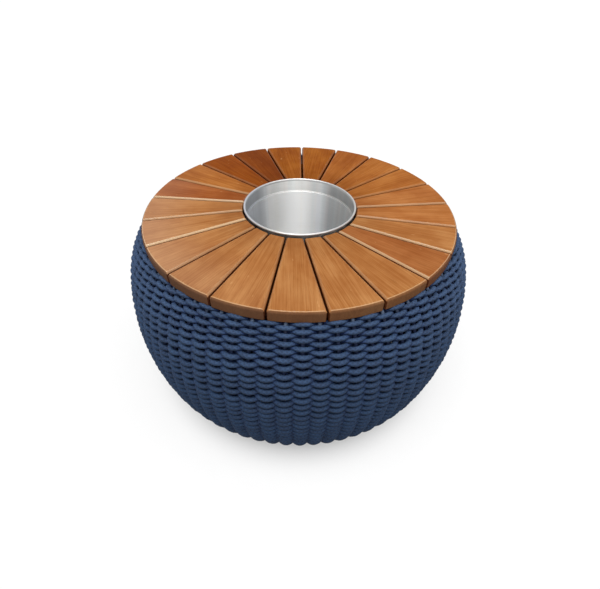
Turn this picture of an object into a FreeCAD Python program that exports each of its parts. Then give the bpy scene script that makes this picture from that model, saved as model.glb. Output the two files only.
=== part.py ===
import FreeCAD, Part
import math
import os
import Sketcher

# Round coffee table with a woven rope body, a top of radial wooden slats and a lift-out ice bucket.
# Millimetres, +Z up, the origin on the floor under the middle of the table, the front towards -Y.

V = FreeCAD.Vector
UP = V(0, 0, 1)
NEAR = 0.01  # two lengths this close count as the same

# Driving sizes: alias, value as text, what it is.
DRIVING = [
    ("table_height", "400", "floor to the top of the wood"),
    ("top_dia", "600", "wooden top across"),
    ("slat_count", "21", "wedge slats round the top"),
    ("slat_gap", "3", "open joint between two slats"),
    ("slat_thick", "20", "planed board thickness"),
    ("slat_corner", "2.5", "radius of the outer corners seen from above"),
    ("slat_inner_corner", "2.5", "radius of the corners beside the bucket"),
    ("slat_ease", "5", "rounding of the upper edges"),
    ("first_slat_angle", "-90", "direction of the first slat, degrees from +X"),
    ("joint_miss", "-9", "mean distance by which a joint passes left of the middle, seen from there"),
    ("joint_swing", "8", "how far that distance rises and falls once round the top"),
    ("joint_swing_angle", "160", "direction of the joint that passes farthest left, degrees from +X"),
    ("weave_step", "5", "weave outside the edge of the wood"),
    ("belly_swell", "50", "widest place of the body outside the top of the weave"),
    ("belly_arc_radius", "420", "upright curve of the middle of the body"),
    ("shoulder_high", "65", "height of the curve from that arc to the wood"),
    ("shoulder_low", "85", "height of the curve from the lowest course to that arc"),
    ("bottom_tuck", "56.8", "lowest course inside the lower end of that arc"),
    ("weave_bottom_height", "10", "floor to the lowest course"),
    ("weave_thick", "23", "both rope layers with the stakes between them"),
    ("weave_top_gap", "0.5", "top course under the wood"),
    ("stake_count", "75", "upright rods that the rope passes round"),
    ("first_stake_angle", "-88.25", "direction of the first rod, degrees from +X"),
    ("stake_dia", "6", "rod diameter"),
    ("stake_depth", "11.5", "rod centre behind the outside of the weave"),
    ("stake_bend", "8", "centre-line radius of the turned-in rod ends"),
    ("stake_gap", "0.3", "turned-in rod end under the wood"),
    ("rope_fit", "0.3", "clearance between a rope layer and the rods"),
    ("course_gap", "4", "inner rope layer to the turned-in rod ends"),
    ("hoop_dia", "20", "hoop tube outside diameter"),
    ("hoop_wall", "1.5", "hoop tube wall"),
    ("hoop_fit", "1", "hoop behind the weave"),
    ("rib_dia", "16", "rib tube outside diameter"),
    ("rib_wall", "1.5", "rib tube wall"),
    ("slats_per_rail", "3", "slats from one rail to the next"),
    ("rail_side", "20", "rail square tube across"),
    ("rail_wall", "1.5", "rail tube wall"),
    ("rail_lap", "16", "rail under the inner ring"),
    ("rail_stop", "2", "rail end short of the hoop's centre line before it is coped"),
    ("ring_thick", "4", "flat rings under the slats"),
    ("outer_ring_width", "35", "outer flat ring"),
    ("outer_ring_lip", "4", "outer ring past the hoop's centre line"),
    ("inner_ring_width", "40", "inner flat ring"),
    ("collar_fit", "3", "inner ring round the bucket's collar"),
    ("seat_thick", "3", "bucket seat ring"),
    ("seat_width", "14.5", "bucket seat ring"),
    ("seat_fit", "1", "seat ring round the bucket's body"),
    ("screw_dia", "5", "slat screw shank"),
    ("screw_head_dia", "9", "slat screw head"),
    ("screw_crown_dia", "6", "flat of the slat screw head"),
    ("screw_head_height", "3", "slat screw head"),
    ("screw_bite", "12", "slat screw in the wood"),
    ("screw_tip", "3", "pointed end of the slat screw"),
    ("screw_fit", "0.25", "clearance round the shank in the rings"),
    ("pilot_fit", "0.1", "clearance round the shank in the wood"),
    ("pilot_spare", "1.5", "pilot hole past the screw's point"),
    ("glide_dia", "18", "foot of the nylon glide"),
    ("glide_foot", "5", "thickness of the foot"),
    ("glide_neck_dia", "12", "glide above its foot, between the turned-in rod ends"),
    ("glide_height", "10", "floor to the base hoop"),
    ("glide_saddle", "3", "glide up the sides of the hoop"),
    ("glide_edge", "2", "bevel round the foot of the glide"),
    ("glide_stem_dia", "8", "glide stem in the hoop"),
    ("glide_stem_reach", "5", "stem above the inside of the hoop's wall"),
    ("glide_stem_fit", "0.1", "clearance round the stem"),
    ("rim_dia", "221.5", "bucket across its rolled rim"),
    ("rim_bead", "4", "thickness of the rolled rim"),
    ("rim_rise", "4.5", "rim above the wood"),
    ("rim_gap", "1.5", "slat ends outside the rim"),
    ("bucket_wall", "1", "bucket sheet"),
    ("ledge_width", "3.3", "step from the collar in to the body"),
    ("bucket_draft", "5", "taper of the body, in radius, down to the floor"),
    ("bucket_height", "204", "rim to the underside of the floor"),
    ("bucket_corner", "14", "outside radius round the floor"),
    ("ledge_round", "2", "rounding of the ledge"),
]

# Sizes worked out from the driving ones: alias, formula.
WORKED = [
    ("wood_under", "Sizes.table_height - Sizes.slat_thick"),
    ("ring_under", "wood_under - Sizes.ring_thick"),
    ("seat_under", "ring_under - Sizes.seat_thick"),
    ("pitch", "360 / Sizes.slat_count"),
    ("rail_count", "floor(Sizes.slat_count / Sizes.slats_per_rail)"),
    ("first_rail_angle", "Sizes.first_slat_angle + pitch / 2"),
    ("rail_pitch", "pitch * Sizes.slats_per_rail"),
    ("arc_high_z", "wood_under - Sizes.shoulder_high"),
    ("arc_low_z", "Sizes.weave_bottom_height + Sizes.shoulder_low"),
    ("belly_height", "(arc_high_z + arc_low_z) / 2"),
    ("weave_top_r", "Sizes.top_dia / 2 + Sizes.weave_step"),
    ("belly_r", "weave_top_r + Sizes.belly_swell"),
    ("arc_sin", "(arc_high_z - arc_low_z) / (2 * Sizes.belly_arc_radius)"),
    ("arc_cos", "sqrt(1 - arc_sin * arc_sin)"),
    ("arc_centre_r", "belly_r - Sizes.belly_arc_radius"),
    ("arc_end_r", "arc_centre_r + Sizes.belly_arc_radius * arc_cos"),
    ("weave_bottom_r", "arc_end_r - Sizes.bottom_tuck"),
    ("high_dr", "weave_top_r - arc_end_r"),
    ("high_dz", "wood_under - arc_high_z"),
    ("high_normal", "high_dr * arc_cos + high_dz * arc_sin"),
    ("high_radius", "-(high_dr * high_dr + high_dz * high_dz) / (2 * high_normal)"),
    ("high_centre_r", "arc_end_r - high_radius * arc_cos"),
    ("high_centre_z", "arc_high_z - high_radius * arc_sin"),
    ("low_dr", "weave_bottom_r - arc_end_r"),
    ("low_dz", "Sizes.weave_bottom_height - arc_low_z"),
    ("low_normal", "low_dr * arc_cos - low_dz * arc_sin"),
    ("low_radius", "-(low_dr * low_dr + low_dz * low_dz) / (2 * low_normal)"),
    ("low_centre_r", "arc_end_r - low_radius * arc_cos"),
    ("low_centre_z", "arc_low_z + low_radius * arc_sin"),
    ("hoop_depth", "Sizes.weave_thick + Sizes.hoop_fit + Sizes.hoop_dia / 2"),
    ("top_hoop_z", "ring_under - Sizes.hoop_dia / 2"),
    ("top_hoop_r", "high_centre_r + sqrt((high_radius - hoop_depth)^2 - (top_hoop_z - high_centre_z)^2)"),
    ("base_hoop_z", "Sizes.glide_height + Sizes.hoop_dia / 2"),
    ("base_hoop_r", "low_centre_r + sqrt((low_radius - hoop_depth)^2 - (low_centre_z - base_hoop_z)^2)"),
    ("high_leg_z", "wood_under - Sizes.stake_gap - Sizes.stake_dia / 2"),
    ("stake_drop", "high_leg_z - top_hoop_z"),
    ("low_leg_z", "base_hoop_z - stake_drop"),
    ("weld_reach", "sqrt((Sizes.hoop_dia / 2 + Sizes.stake_dia / 2)^2 - stake_drop^2)"),
    ("high_stake_radius", "high_radius - Sizes.stake_depth"),
    ("high_bend_radius", "high_stake_radius - Sizes.stake_bend"),
    ("high_bend_z", "high_leg_z - Sizes.stake_bend"),
    ("high_bend_r", "high_centre_r + sqrt(high_bend_radius^2 - (high_bend_z - high_centre_z)^2)"),
    ("low_stake_radius", "low_radius - Sizes.stake_depth"),
    ("low_bend_radius", "low_stake_radius - Sizes.stake_bend"),
    ("low_bend_z", "low_leg_z + Sizes.stake_bend"),
    ("low_bend_r", "low_centre_r + sqrt(low_bend_radius^2 - (low_centre_z - low_bend_z)^2)"),
    ("inner_layer_depth", "Sizes.stake_depth + Sizes.stake_dia / 2 + Sizes.rope_fit"),
    ("outer_layer_depth", "Sizes.stake_depth - Sizes.stake_dia / 2 - Sizes.rope_fit"),
    ("outer_layer_top", "wood_under - Sizes.weave_top_gap"),
    ("inner_layer_top", "high_leg_z - Sizes.stake_dia / 2 - Sizes.course_gap"),
    ("inner_layer_bottom", "low_leg_z + Sizes.stake_dia / 2 + Sizes.course_gap"),
    ("collar_r", "Sizes.rim_dia / 2 - Sizes.rim_bead + Sizes.bucket_wall"),
    ("bucket_body_r", "collar_r - Sizes.ledge_width"),
    ("bucket_floor_r", "bucket_body_r - Sizes.bucket_draft"),
    ("slat_inner_r", "Sizes.rim_dia / 2 + Sizes.rim_gap"),
    ("outer_ring_r", "top_hoop_r + Sizes.outer_ring_lip"),
    ("outer_screw_r", "outer_ring_r - Sizes.outer_ring_width / 2"),
    ("inner_ring_r", "collar_r + Sizes.collar_fit"),
    ("seat_r", "bucket_body_r + Sizes.seat_fit"),
    ("rail_start", "inner_ring_r + Sizes.inner_ring_width - Sizes.rail_lap"),
    ("inner_screw_r", "(seat_r + Sizes.seat_width + rail_start) / 2"),
    ("rail_end", "top_hoop_r - Sizes.rail_stop"),
    ("screw_tip_z", "wood_under + Sizes.screw_bite"),
    ("pilot_depth", "Sizes.screw_bite + Sizes.pilot_spare"),
    ("stem_top", "Sizes.glide_height + Sizes.hoop_wall + Sizes.glide_stem_reach"),
    ("rim_top", "Sizes.table_height + Sizes.rim_rise"),
    ("bead_z", "rim_top - Sizes.rim_bead / 2"),
    ("bead_r", "(Sizes.rim_dia - Sizes.rim_bead) / 2"),
    ("bucket_under", "rim_top - Sizes.bucket_height"),
]

doc = FreeCAD.newDocument("IceBucketTable")


def fill_sheet(name, rows, sign):
    """Make a spreadsheet with one named cell for each row."""
    sheet = doc.addObject("Spreadsheet::Sheet", name)
    for number, row in enumerate(rows, start=1):
        sheet.set(f"A{number}", row[0])
        sheet.set(f"B{number}", sign + row[1])
        sheet.setAlias(f"B{number}", row[0])
        if len(row) > 2:
            sheet.set(f"C{number}", row[2])
    return sheet


sizes = fill_sheet("Sizes", DRIVING, "")
worked = fill_sheet("Worked", WORKED, "=")
doc.recompute()


def value(expression):
    """The number that an expression over the two sheets gives now."""
    return float(worked.evalExpression(expression))


def origin_feature(body, role):
    """An origin plane or axis of a body."""
    return next(item for item in body.Origin.OriginFeatures if item.Role == role)


def new_body(label):
    """A body whose label is its node name."""
    body = doc.addObject("PartDesign::Body", "Body_" + label)
    body.Label = label
    return body


def new_sketch(body, name, role, height=None):
    """A sketch on an origin plane, lifted by an expression where one is given."""
    sketch = body.newObject("Sketcher::SketchObject", name)
    sketch.AttachmentSupport = (origin_feature(body, role), [""])
    sketch.MapMode = "FlatFace"
    if height is not None:
        sketch.setExpression("AttachmentOffset.Base.z", height)
    return sketch


def hold(sketch, kind, where, expression):
    """Add one dimension to a sketch and bind it to an expression."""
    number = sketch.addConstraint(Sketcher.Constraint(kind, *where, value(expression)))
    sketch.setExpression(f"Constraints[{number}]", expression)


def add_circle(sketch, centre, radius):
    """A circle held by its centre's two coordinates and its radius."""
    place = V(value(centre[0]), value(centre[1]), 0)
    circle = sketch.addGeometry(Part.Circle(place, UP, value(radius)), False)
    hold(sketch, "Radius", (circle,), radius)
    if centre == ("0", "0"):
        sketch.addConstraint(Sketcher.Constraint("Coincident", circle, 3, -1, 1))
        return circle
    hold(sketch, "DistanceX", (-1, 1, circle, 3), centre[0])
    if centre[1] == "0":
        sketch.addConstraint(Sketcher.Constraint("PointOnObject", circle, 3, -1))
    else:
        hold(sketch, "DistanceY", (-1, 1, circle, 3), centre[1])
    return circle


def add_polygon(sketch, corners):
    """A closed outline whose corners are held by expressions for both coordinates."""
    points = [V(value(x), value(y), 0) for x, y in corners]
    lines = []
    for start, end in zip(points, points[1:] + points[:1]):
        lines.append(sketch.addGeometry(Part.LineSegment(start, end), False))
    for line, following in zip(lines, lines[1:] + lines[:1]):
        sketch.addConstraint(Sketcher.Constraint("Coincident", line, 2, following, 1))
    for line, (x, y) in zip(lines, corners):
        for kind, axis, place in (("DistanceX", -2, x), ("DistanceY", -1, y)):
            if place == "0":
                sketch.addConstraint(Sketcher.Constraint("PointOnObject", line, 1, axis))
            else:
                hold(sketch, kind, (-1, 1, line, 1), place)
    return lines


def pad(body, name, sketch, length):
    """Pad a sketch by an expression's length."""
    feature = body.newObject("PartDesign::Pad", name)
    feature.Profile = sketch
    feature.setExpression("Length", length)
    return feature


def pocket_up(body, name, sketch, depth):
    """Cut a sketch upwards into the solid and check that it took something away."""
    doc.recompute()
    before = body.Shape.Volume
    feature = body.newObject("PartDesign::Pocket", name)
    feature.Profile = sketch
    feature.Reversed = True
    feature.setExpression("Length", depth)
    doc.recompute()
    if not body.Shape.Volume < before:
        raise RuntimeError(f"{body.Label}: {name} cuts nothing")
    return feature


def revolve(body, name, sketch, axis=None):
    """Turn a sketch once round the body's Z axis or a given axis."""
    feature = body.newObject("PartDesign::Revolution", name)
    feature.Profile = sketch
    feature.ReferenceAxis = axis or (origin_feature(body, "Z_Axis"), [""])
    feature.Angle = 360
    return feature


def polar(body, name, feature, count):
    """Repeat a feature evenly round the Z axis and make the result the body's tip."""
    pattern = body.newObject("PartDesign::PolarPattern", name)
    pattern.Originals = [feature]
    pattern.Axis = (origin_feature(body, "Z_Axis"), [""])
    pattern.Angle = 360
    pattern.setExpression("Occurrences", count)
    body.Tip = pattern
    return pattern


def round_edges(body, name, picks, radius):
    """Round the edges of the body that a test picks."""
    doc.recompute()
    base = body.Tip
    names = [f"Edge{i}" for i, edge in enumerate(base.Shape.Edges, start=1) if picks(edge)]
    feature = body.newObject("PartDesign::Fillet", name)
    feature.Base = (base, names)
    feature.setExpression("Radius", radius)
    return feature


def turn(item, angle):
    """Turn an object about the table's axis by an expression in degrees."""
    item.Placement = FreeCAD.Placement(V(0, 0, 0), FreeCAD.Rotation(UP, value(angle)))
    item.setExpression("Placement.Rotation.Angle", angle)


def boolean(kind, label, base, tool):
    """Join or cut two objects as one labelled sub-part."""
    result = doc.addObject(f"Part::{kind}", f"{kind}_{label}")
    result.Label = label
    result.Base = base
    result.Tool = tool
    return result


def barrel_curve(sketch, depth, low_end, high_end):
    """The body's three tangent arcs, a depth inside the weave, from one height to another.

    Returns the lower, middle and upper arc; the curve runs upwards.
    """
    half = math.asin(value("Worked.arc_sin"))
    inset = value(depth)
    arcs = []
    low_z = value("Worked.low_centre_z")
    low_r = value("Worked.low_radius") - inset
    low_angle = math.asin((value(low_end) - low_z) / low_r)
    high_z = value("Worked.high_centre_z")
    high_r = value("Worked.high_radius") - inset
    high_angle = math.asin((value(high_end) - high_z) / high_r)
    spans = [
        (V(value("Worked.low_centre_r"), low_z, 0), low_r, low_angle, -half),
        (V(value("Worked.arc_centre_r"), value("Worked.belly_height"), 0),
         value("Sizes.belly_arc_radius") - inset, -half, half),
        (V(value("Worked.high_centre_r"), high_z, 0), high_r, half, high_angle),
    ]
    for centre, radius, start, end in spans:
        arcs.append(sketch.addGeometry(Part.ArcOfCircle(Part.Circle(centre, UP, radius), start, end), False))
    low, middle, high = arcs
    hold(sketch, "DistanceX", (-1, 1, middle, 3), "Worked.arc_centre_r")
    hold(sketch, "DistanceY", (-1, 1, middle, 3), "Worked.belly_height")
    hold(sketch, "Radius", (middle,), f"Sizes.belly_arc_radius - {depth}")
    reach = f"(Sizes.belly_arc_radius - {depth}) * Worked.arc_sin"
    hold(sketch, "DistanceY", (-1, 1, middle, 1), f"Worked.belly_height - {reach}")
    hold(sketch, "DistanceY", (-1, 1, middle, 2), f"Worked.belly_height + {reach}")
    sketch.addConstraint(Sketcher.Constraint("Tangent", low, 2, middle, 1))
    sketch.addConstraint(Sketcher.Constraint("Tangent", middle, 2, high, 1))
    hold(sketch, "Radius", (low,), f"Worked.low_radius - {depth}")
    hold(sketch, "Radius", (high,), f"Worked.high_radius - {depth}")
    hold(sketch, "DistanceY", (-1, 1, low, 1), low_end)
    hold(sketch, "DistanceY", (-1, 1, high, 2), high_end)
    return arcs


def join_ends(sketch, first, first_end, second, second_end):
    """Close two curves of a sketch with a straight line."""
    points = [sketch.getPoint(first, first_end), sketch.getPoint(second, second_end)]
    line = sketch.addGeometry(Part.LineSegment(*points), False)
    sketch.addConstraint(Sketcher.Constraint("Coincident", line, 1, first, first_end))
    sketch.addConstraint(Sketcher.Constraint("Coincident", line, 2, second, second_end))
    return line


def pipe_along(body, path, count, radius, bore=None):
    """Sweep a round section, hollow where a bore radius is given, along a path of several curves."""
    section = body.newObject("Sketcher::SketchObject", "Section")
    section.AttachmentSupport = (path, ["Edge1"])
    section.MapMode = "NormalToEdge"
    section.MapPathParameter = 0
    add_circle(section, ("0", "0"), radius)
    if bore is not None:
        add_circle(section, ("0", "0"), bore)
    doc.recompute()
    feature = body.newObject("PartDesign::AdditivePipe", "Pipe")
    feature.Profile = section
    feature.Spine = (path, [f"Edge{i}" for i in range(1, count + 1)])
    doc.recompute()
    return feature


def slat_side(index, side):
    """Where the left (1) or right (-1) side of a slat runs, in expressions.

    The joint between two slats ends at its even place on the rim of the top, but passes the
    middle of the table on one side. Returned are the side's direction, its distance left of
    the middle and the distance of its outer end left of the slat's axis.
    """
    reach = "(Sizes.top_dia / 2)"
    half = f"{side} * Worked.pitch / 2"
    joint = f"Sizes.first_slat_angle + {index} * Worked.pitch + {half}"
    miss = f"Sizes.joint_miss + Sizes.joint_swing * cos(({joint} - Sizes.joint_swing_angle) * 1 deg)"
    direction = f"({half} * 1 deg - asin(({miss}) / {reach}))"
    beside = f"({miss} - {side} * Sizes.slat_gap / 2)"
    return direction, beside, f"{reach} * sin({direction} + asin({beside} / {reach}))"


def make_slat(index):
    """One wedge of the wooden top, with its two pilot holes and eased edges."""
    body = new_body(f"slat_{index + 1:02d}")
    outline = new_sketch(body, "Outline", "XY_Plane", "Worked.wood_under")
    radii = ("Worked.slat_inner_r", "Sizes.top_dia / 2")
    sides = {side: slat_side(index, side) for side in (-1, 1)}
    ends = {}
    for side, (direction, beside, _) in sides.items():
        angle, off = math.radians(value(direction)), value(beside)
        for radius in radii:
            run = math.sqrt(value(radius) ** 2 - off * off)
            ends[side, radius] = V(run * math.cos(angle) - off * math.sin(angle),
                                   run * math.sin(angle) + off * math.cos(angle), 0)
    arcs = []
    for radius in radii:
        span = [math.atan2(ends[side, radius].y, ends[side, radius].x) for side in (-1, 1)]
        circle = Part.Circle(V(0, 0, 0), UP, value(radius))
        arc = outline.addGeometry(Part.ArcOfCircle(circle, *span), False)
        outline.addConstraint(Sketcher.Constraint("Coincident", arc, 3, -1, 1))
        hold(outline, "Radius", (arc,), radius)
        arcs.append(arc)
    for end, (side, (direction, _, outer_end)) in enumerate(sides.items(), start=1):
        line = outline.addGeometry(Part.LineSegment(*(ends[side, radius] for radius in radii)), False)
        outline.addConstraint(Sketcher.Constraint("Coincident", line, 1, arcs[0], end))
        outline.addConstraint(Sketcher.Constraint("Coincident", line, 2, arcs[1], end))
        angle = outline.addConstraint(Sketcher.Constraint("Angle", line, math.radians(value(direction))))
        outline.setExpression(f"Constraints[{angle}]", direction)
        span = (-1, 1, line, 2) if side > 0 else (line, 2, -1, 1)
        hold(outline, "DistanceY", span, f"{side} * {outer_end}")
    pad(body, "Board", outline, "Sizes.slat_thick")
    pilots = new_sketch(body, "Pilots", "XY_Plane", "Worked.wood_under")
    for radius in ("Worked.inner_screw_r", "Worked.outer_screw_r"):
        add_circle(pilots, (radius, "0"), "Sizes.screw_dia / 2 + Sizes.pilot_fit")
    pocket_up(body, "PilotHoles", pilots, "Worked.pilot_depth")
    middle = value("(Worked.slat_inner_r + Sizes.top_dia / 2) / 2")
    for name, outside, radius in (("OuterCorners", True, "Sizes.slat_corner"),
                                  ("InnerCorners", False, "Sizes.slat_inner_corner")):
        round_edges(body, name, lambda edge, outside=outside: is_corner(edge, middle, outside), radius)
    top = value("Sizes.table_height")
    round_edges(body, "UpperEdges", lambda edge: edge.BoundBox.ZMin > top - NEAR, "Sizes.slat_ease")
    turn(body, f"Sizes.first_slat_angle + {index} * Worked.pitch")
    return body


def is_corner(edge, middle, outside):
    """Whether an edge is an upright corner of a slat, outside or inside a radius."""
    box = edge.BoundBox
    upright = box.ZLength > value("Sizes.slat_thick") - NEAR and box.DiagonalLength < box.ZLength + NEAR
    point = edge.CenterOfMass
    return upright and (math.hypot(point.x, point.y) > middle) == outside


def make_flat_ring(label, bottom, thick, inner, width, hole_r=None):
    """A flat ring, with a clearance hole under each slat where a radius for them is given."""
    body = new_body(label)
    outline = new_sketch(body, "Outline", "XY_Plane", bottom)
    add_circle(outline, ("0", "0"), inner)
    add_circle(outline, ("0", "0"), f"{inner} + {width}")
    pad(body, "Plate", outline, thick)
    if hole_r is not None:
        hole = new_sketch(body, "Hole", "XY_Plane", bottom)
        add_circle(hole, (hole_r, "0"), "Sizes.screw_dia / 2 + Sizes.screw_fit")
        cut = pocket_up(body, "ScrewHole", hole, thick)
        polar(body, "ScrewHoles", cut, "Sizes.slat_count")
        turn(body, "Sizes.first_slat_angle")
    return body


def make_screws(label, radius):
    """One circle of slat screws, driven upwards through a ring."""
    body = new_body(label)
    profile = new_sketch(body, "Profile", "XZ_Plane")
    shank = f"{radius} + Sizes.screw_dia / 2"
    head = f"{radius} + Sizes.screw_head_dia / 2"
    crown = f"{radius} + Sizes.screw_crown_dia / 2"
    lines = add_polygon(profile, [
        (radius, "Worked.ring_under - Sizes.screw_head_height"),
        (crown, "Worked.ring_under - Sizes.screw_head_height"),
        (head, "Worked.ring_under - Sizes.screw_head_height / 2"),
        (head, "Worked.ring_under"),
        (shank, "Worked.ring_under"),
        (shank, "Worked.screw_tip_z - Sizes.screw_tip"),
        (radius, "Worked.screw_tip_z"),
    ])
    turned = revolve(body, "Screw", profile, (profile, [f"Edge{lines[-1] + 1}"]))
    polar(body, "Circle", turned, "Sizes.slat_count")
    turn(body, "Sizes.first_slat_angle")
    return body


def make_hoop(label, height, radius, stem_holes):
    """A hoop of round tube, with a hole under it for each glide stem where it stands on them."""
    body = new_body(label)
    section = new_sketch(body, "Section", "XZ_Plane")
    add_circle(section, (radius, height), "Sizes.hoop_dia / 2")
    add_circle(section, (radius, height), "Sizes.hoop_dia / 2 - Sizes.hoop_wall")
    revolve(body, "Tube", section)
    if stem_holes:
        hole = new_sketch(body, "Hole", "XY_Plane", f"{height} - Sizes.hoop_dia / 2 - Sizes.hoop_wall")
        add_circle(hole, (radius, "0"), "Sizes.glide_stem_dia / 2 + Sizes.glide_stem_fit")
        cut = pocket_up(body, "StemHole", hole, "Sizes.hoop_dia / 2")
        polar(body, "StemHoles", cut, "Worked.rail_count")
        turn(body, "Worked.first_rail_angle")
    return body


def make_hoop_space(height, radius):
    """The outside of a hoop, which copes the tubes and glides that meet it."""
    space = doc.addObject("Part::Torus", "HoopSpace")
    space.setExpression("Radius1", radius)
    space.setExpression("Radius2", "Sizes.hoop_dia / 2")
    space.setExpression("Placement.Base.z", height)
    return space


def make_rib(index, top_space, base_space):
    """One curved tube between the two hoops, coped to both."""
    body = new_body(f"rib_tube_{index + 1}")
    path = new_sketch(body, "Path", "XZ_Plane")
    barrel_curve(path, "Worked.hoop_depth", "Worked.base_hoop_z", "Worked.top_hoop_z")
    doc.recompute()
    pipe_along(body, path, 3, "Sizes.rib_dia / 2", "Sizes.rib_dia / 2 - Sizes.rib_wall")
    turn(body, f"Worked.first_rail_angle + {index} * Worked.rail_pitch")
    upper = boolean("Cut", f"rib_upper_{index + 1}", body, top_space)
    return boolean("Cut", f"rib_{index + 1}", upper, base_space)


def make_rail(index, top_space):
    """One square tube from the inner ring out to the top hoop, coped to it."""
    walls = []
    for name, inset in (("Outside", "0"), ("Bore", "Sizes.rail_wall")):
        box = doc.addObject("Part::Box", f"Rail{name}{index + 1}")
        box.setExpression("Length", "Worked.rail_end - Worked.rail_start")
        box.setExpression("Width", f"Sizes.rail_side - 2 * {inset}")
        box.setExpression("Height", f"Sizes.rail_side - 2 * {inset}")
        box.setExpression("Placement.Base.x", "Worked.rail_start")
        box.setExpression("Placement.Base.y", f"{inset} - Sizes.rail_side / 2")
        box.setExpression("Placement.Base.z", f"Worked.ring_under - Sizes.rail_side + {inset}")
        walls.append(box)
    tube = boolean("Cut", f"rail_tube_{index + 1}", *walls)
    turn(tube, f"Worked.first_rail_angle + {index} * Worked.rail_pitch")
    return boolean("Cut", f"rail_{index + 1}", tube, top_space)


def make_glide(index, base_space):
    """One nylon glide: a bevelled foot saddled to the base hoop and a stem through its wall."""
    angle = f"Worked.first_rail_angle + {index} * Worked.rail_pitch"
    foot = new_body(f"glide_foot_{index + 1}")
    profile = new_sketch(foot, "Profile", "XZ_Plane")
    middle = "Worked.base_hoop_r"
    edge = f"{middle} + Sizes.glide_dia / 2"
    neck = f"{middle} + Sizes.glide_neck_dia / 2"
    lines = add_polygon(profile, [
        (middle, "0"),
        (f"{edge} - Sizes.glide_edge", "0"),
        (edge, "Sizes.glide_edge"),
        (edge, "Sizes.glide_foot"),
        (neck, "Sizes.glide_foot"),
        (neck, "Sizes.glide_height + Sizes.glide_saddle"),
        (middle, "Sizes.glide_height + Sizes.glide_saddle"),
    ])
    revolve(foot, "Foot", profile, (profile, [f"Edge{lines[-1] + 1}"]))
    turn(foot, angle)
    saddled = boolean("Cut", f"glide_saddle_{index + 1}", foot, base_space)
    stem = doc.addObject("Part::Cylinder", f"GlideStem{index + 1}")
    stem.setExpression("Radius", "Sizes.glide_stem_dia / 2")
    stem.setExpression("Height", "Worked.stem_top - Sizes.glide_edge")
    stem.setExpression("Placement.Base.x", f"{middle} * cos({angle})")
    stem.setExpression("Placement.Base.y", f"{middle} * sin({angle})")
    stem.setExpression("Placement.Base.z", "Sizes.glide_edge")
    return boolean("Fuse", f"glide_{index + 1}", saddled, stem)


def make_stakes():
    """The upright rods, each bent in at both ends to its weld on a hoop."""
    body = new_body("stakes")
    path = new_sketch(body, "Path", "XZ_Plane")
    depth = "Sizes.stake_depth"
    join = "Worked.{0}_centre_z + (Worked.{0}_bend_z - Worked.{0}_centre_z)"
    join += " * Worked.{0}_stake_radius / Worked.{0}_bend_radius"
    low, _, high = barrel_curve(path, depth, join.format("low"), join.format("high"))
    for side, arc, end in (("low", low, 1), ("high", high, 2)):
        hoop = "Worked.base_hoop_r" if side == "low" else "Worked.top_hoop_r"
        meet = path.getPoint(arc, end)
        centre = V(value(f"Worked.{side}_bend_r"), value(f"Worked.{side}_bend_z"), 0)
        bend = value("Sizes.stake_bend")
        swing = math.atan2(meet.y - centre.y, meet.x - centre.x)
        quarter = -math.pi / 2 if side == "low" else math.pi / 2
        circle = Part.Circle(centre, UP, bend)
        turned = path.addGeometry(Part.ArcOfCircle(circle, min(swing, quarter), max(swing, quarter)), False)
        near, far = (2, 1) if side == "low" else (1, 2)
        path.addConstraint(Sketcher.Constraint("Tangent", arc, end, turned, near))
        hold(path, "Radius", (turned,), "Sizes.stake_bend")
        start = path.getPoint(turned, far)
        finish = V(value(f"{hoop} + Worked.weld_reach"), start.y, 0)
        leg = path.addGeometry(Part.LineSegment(start, finish), False)
        path.addConstraint(Sketcher.Constraint("Tangent", turned, far, leg, 1))
        path.addConstraint(Sketcher.Constraint("Horizontal", leg))
        hold(path, "DistanceX", (-1, 1, leg, 2), f"{hoop} + Worked.weld_reach")
    doc.recompute()
    rod = pipe_along(body, path, 7, "Sizes.stake_dia / 2")
    polar(body, "Cage", rod, "Sizes.stake_count")
    turn(body, "Sizes.first_stake_angle")
    return body


def make_rope_layer(label, outer_depth, inner_depth, bottom, top):
    """One of the two layers of rope, the one outside or the one inside the rods."""
    body = new_body(label)
    profile = new_sketch(body, "Profile", "XZ_Plane")
    outside = barrel_curve(profile, outer_depth, bottom, top)
    inside = barrel_curve(profile, inner_depth, bottom, top)
    join_ends(profile, outside[2], 2, inside[2], 2)
    join_ends(profile, inside[0], 1, outside[0], 1)
    revolve(body, "Layer", profile)
    return body


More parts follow.
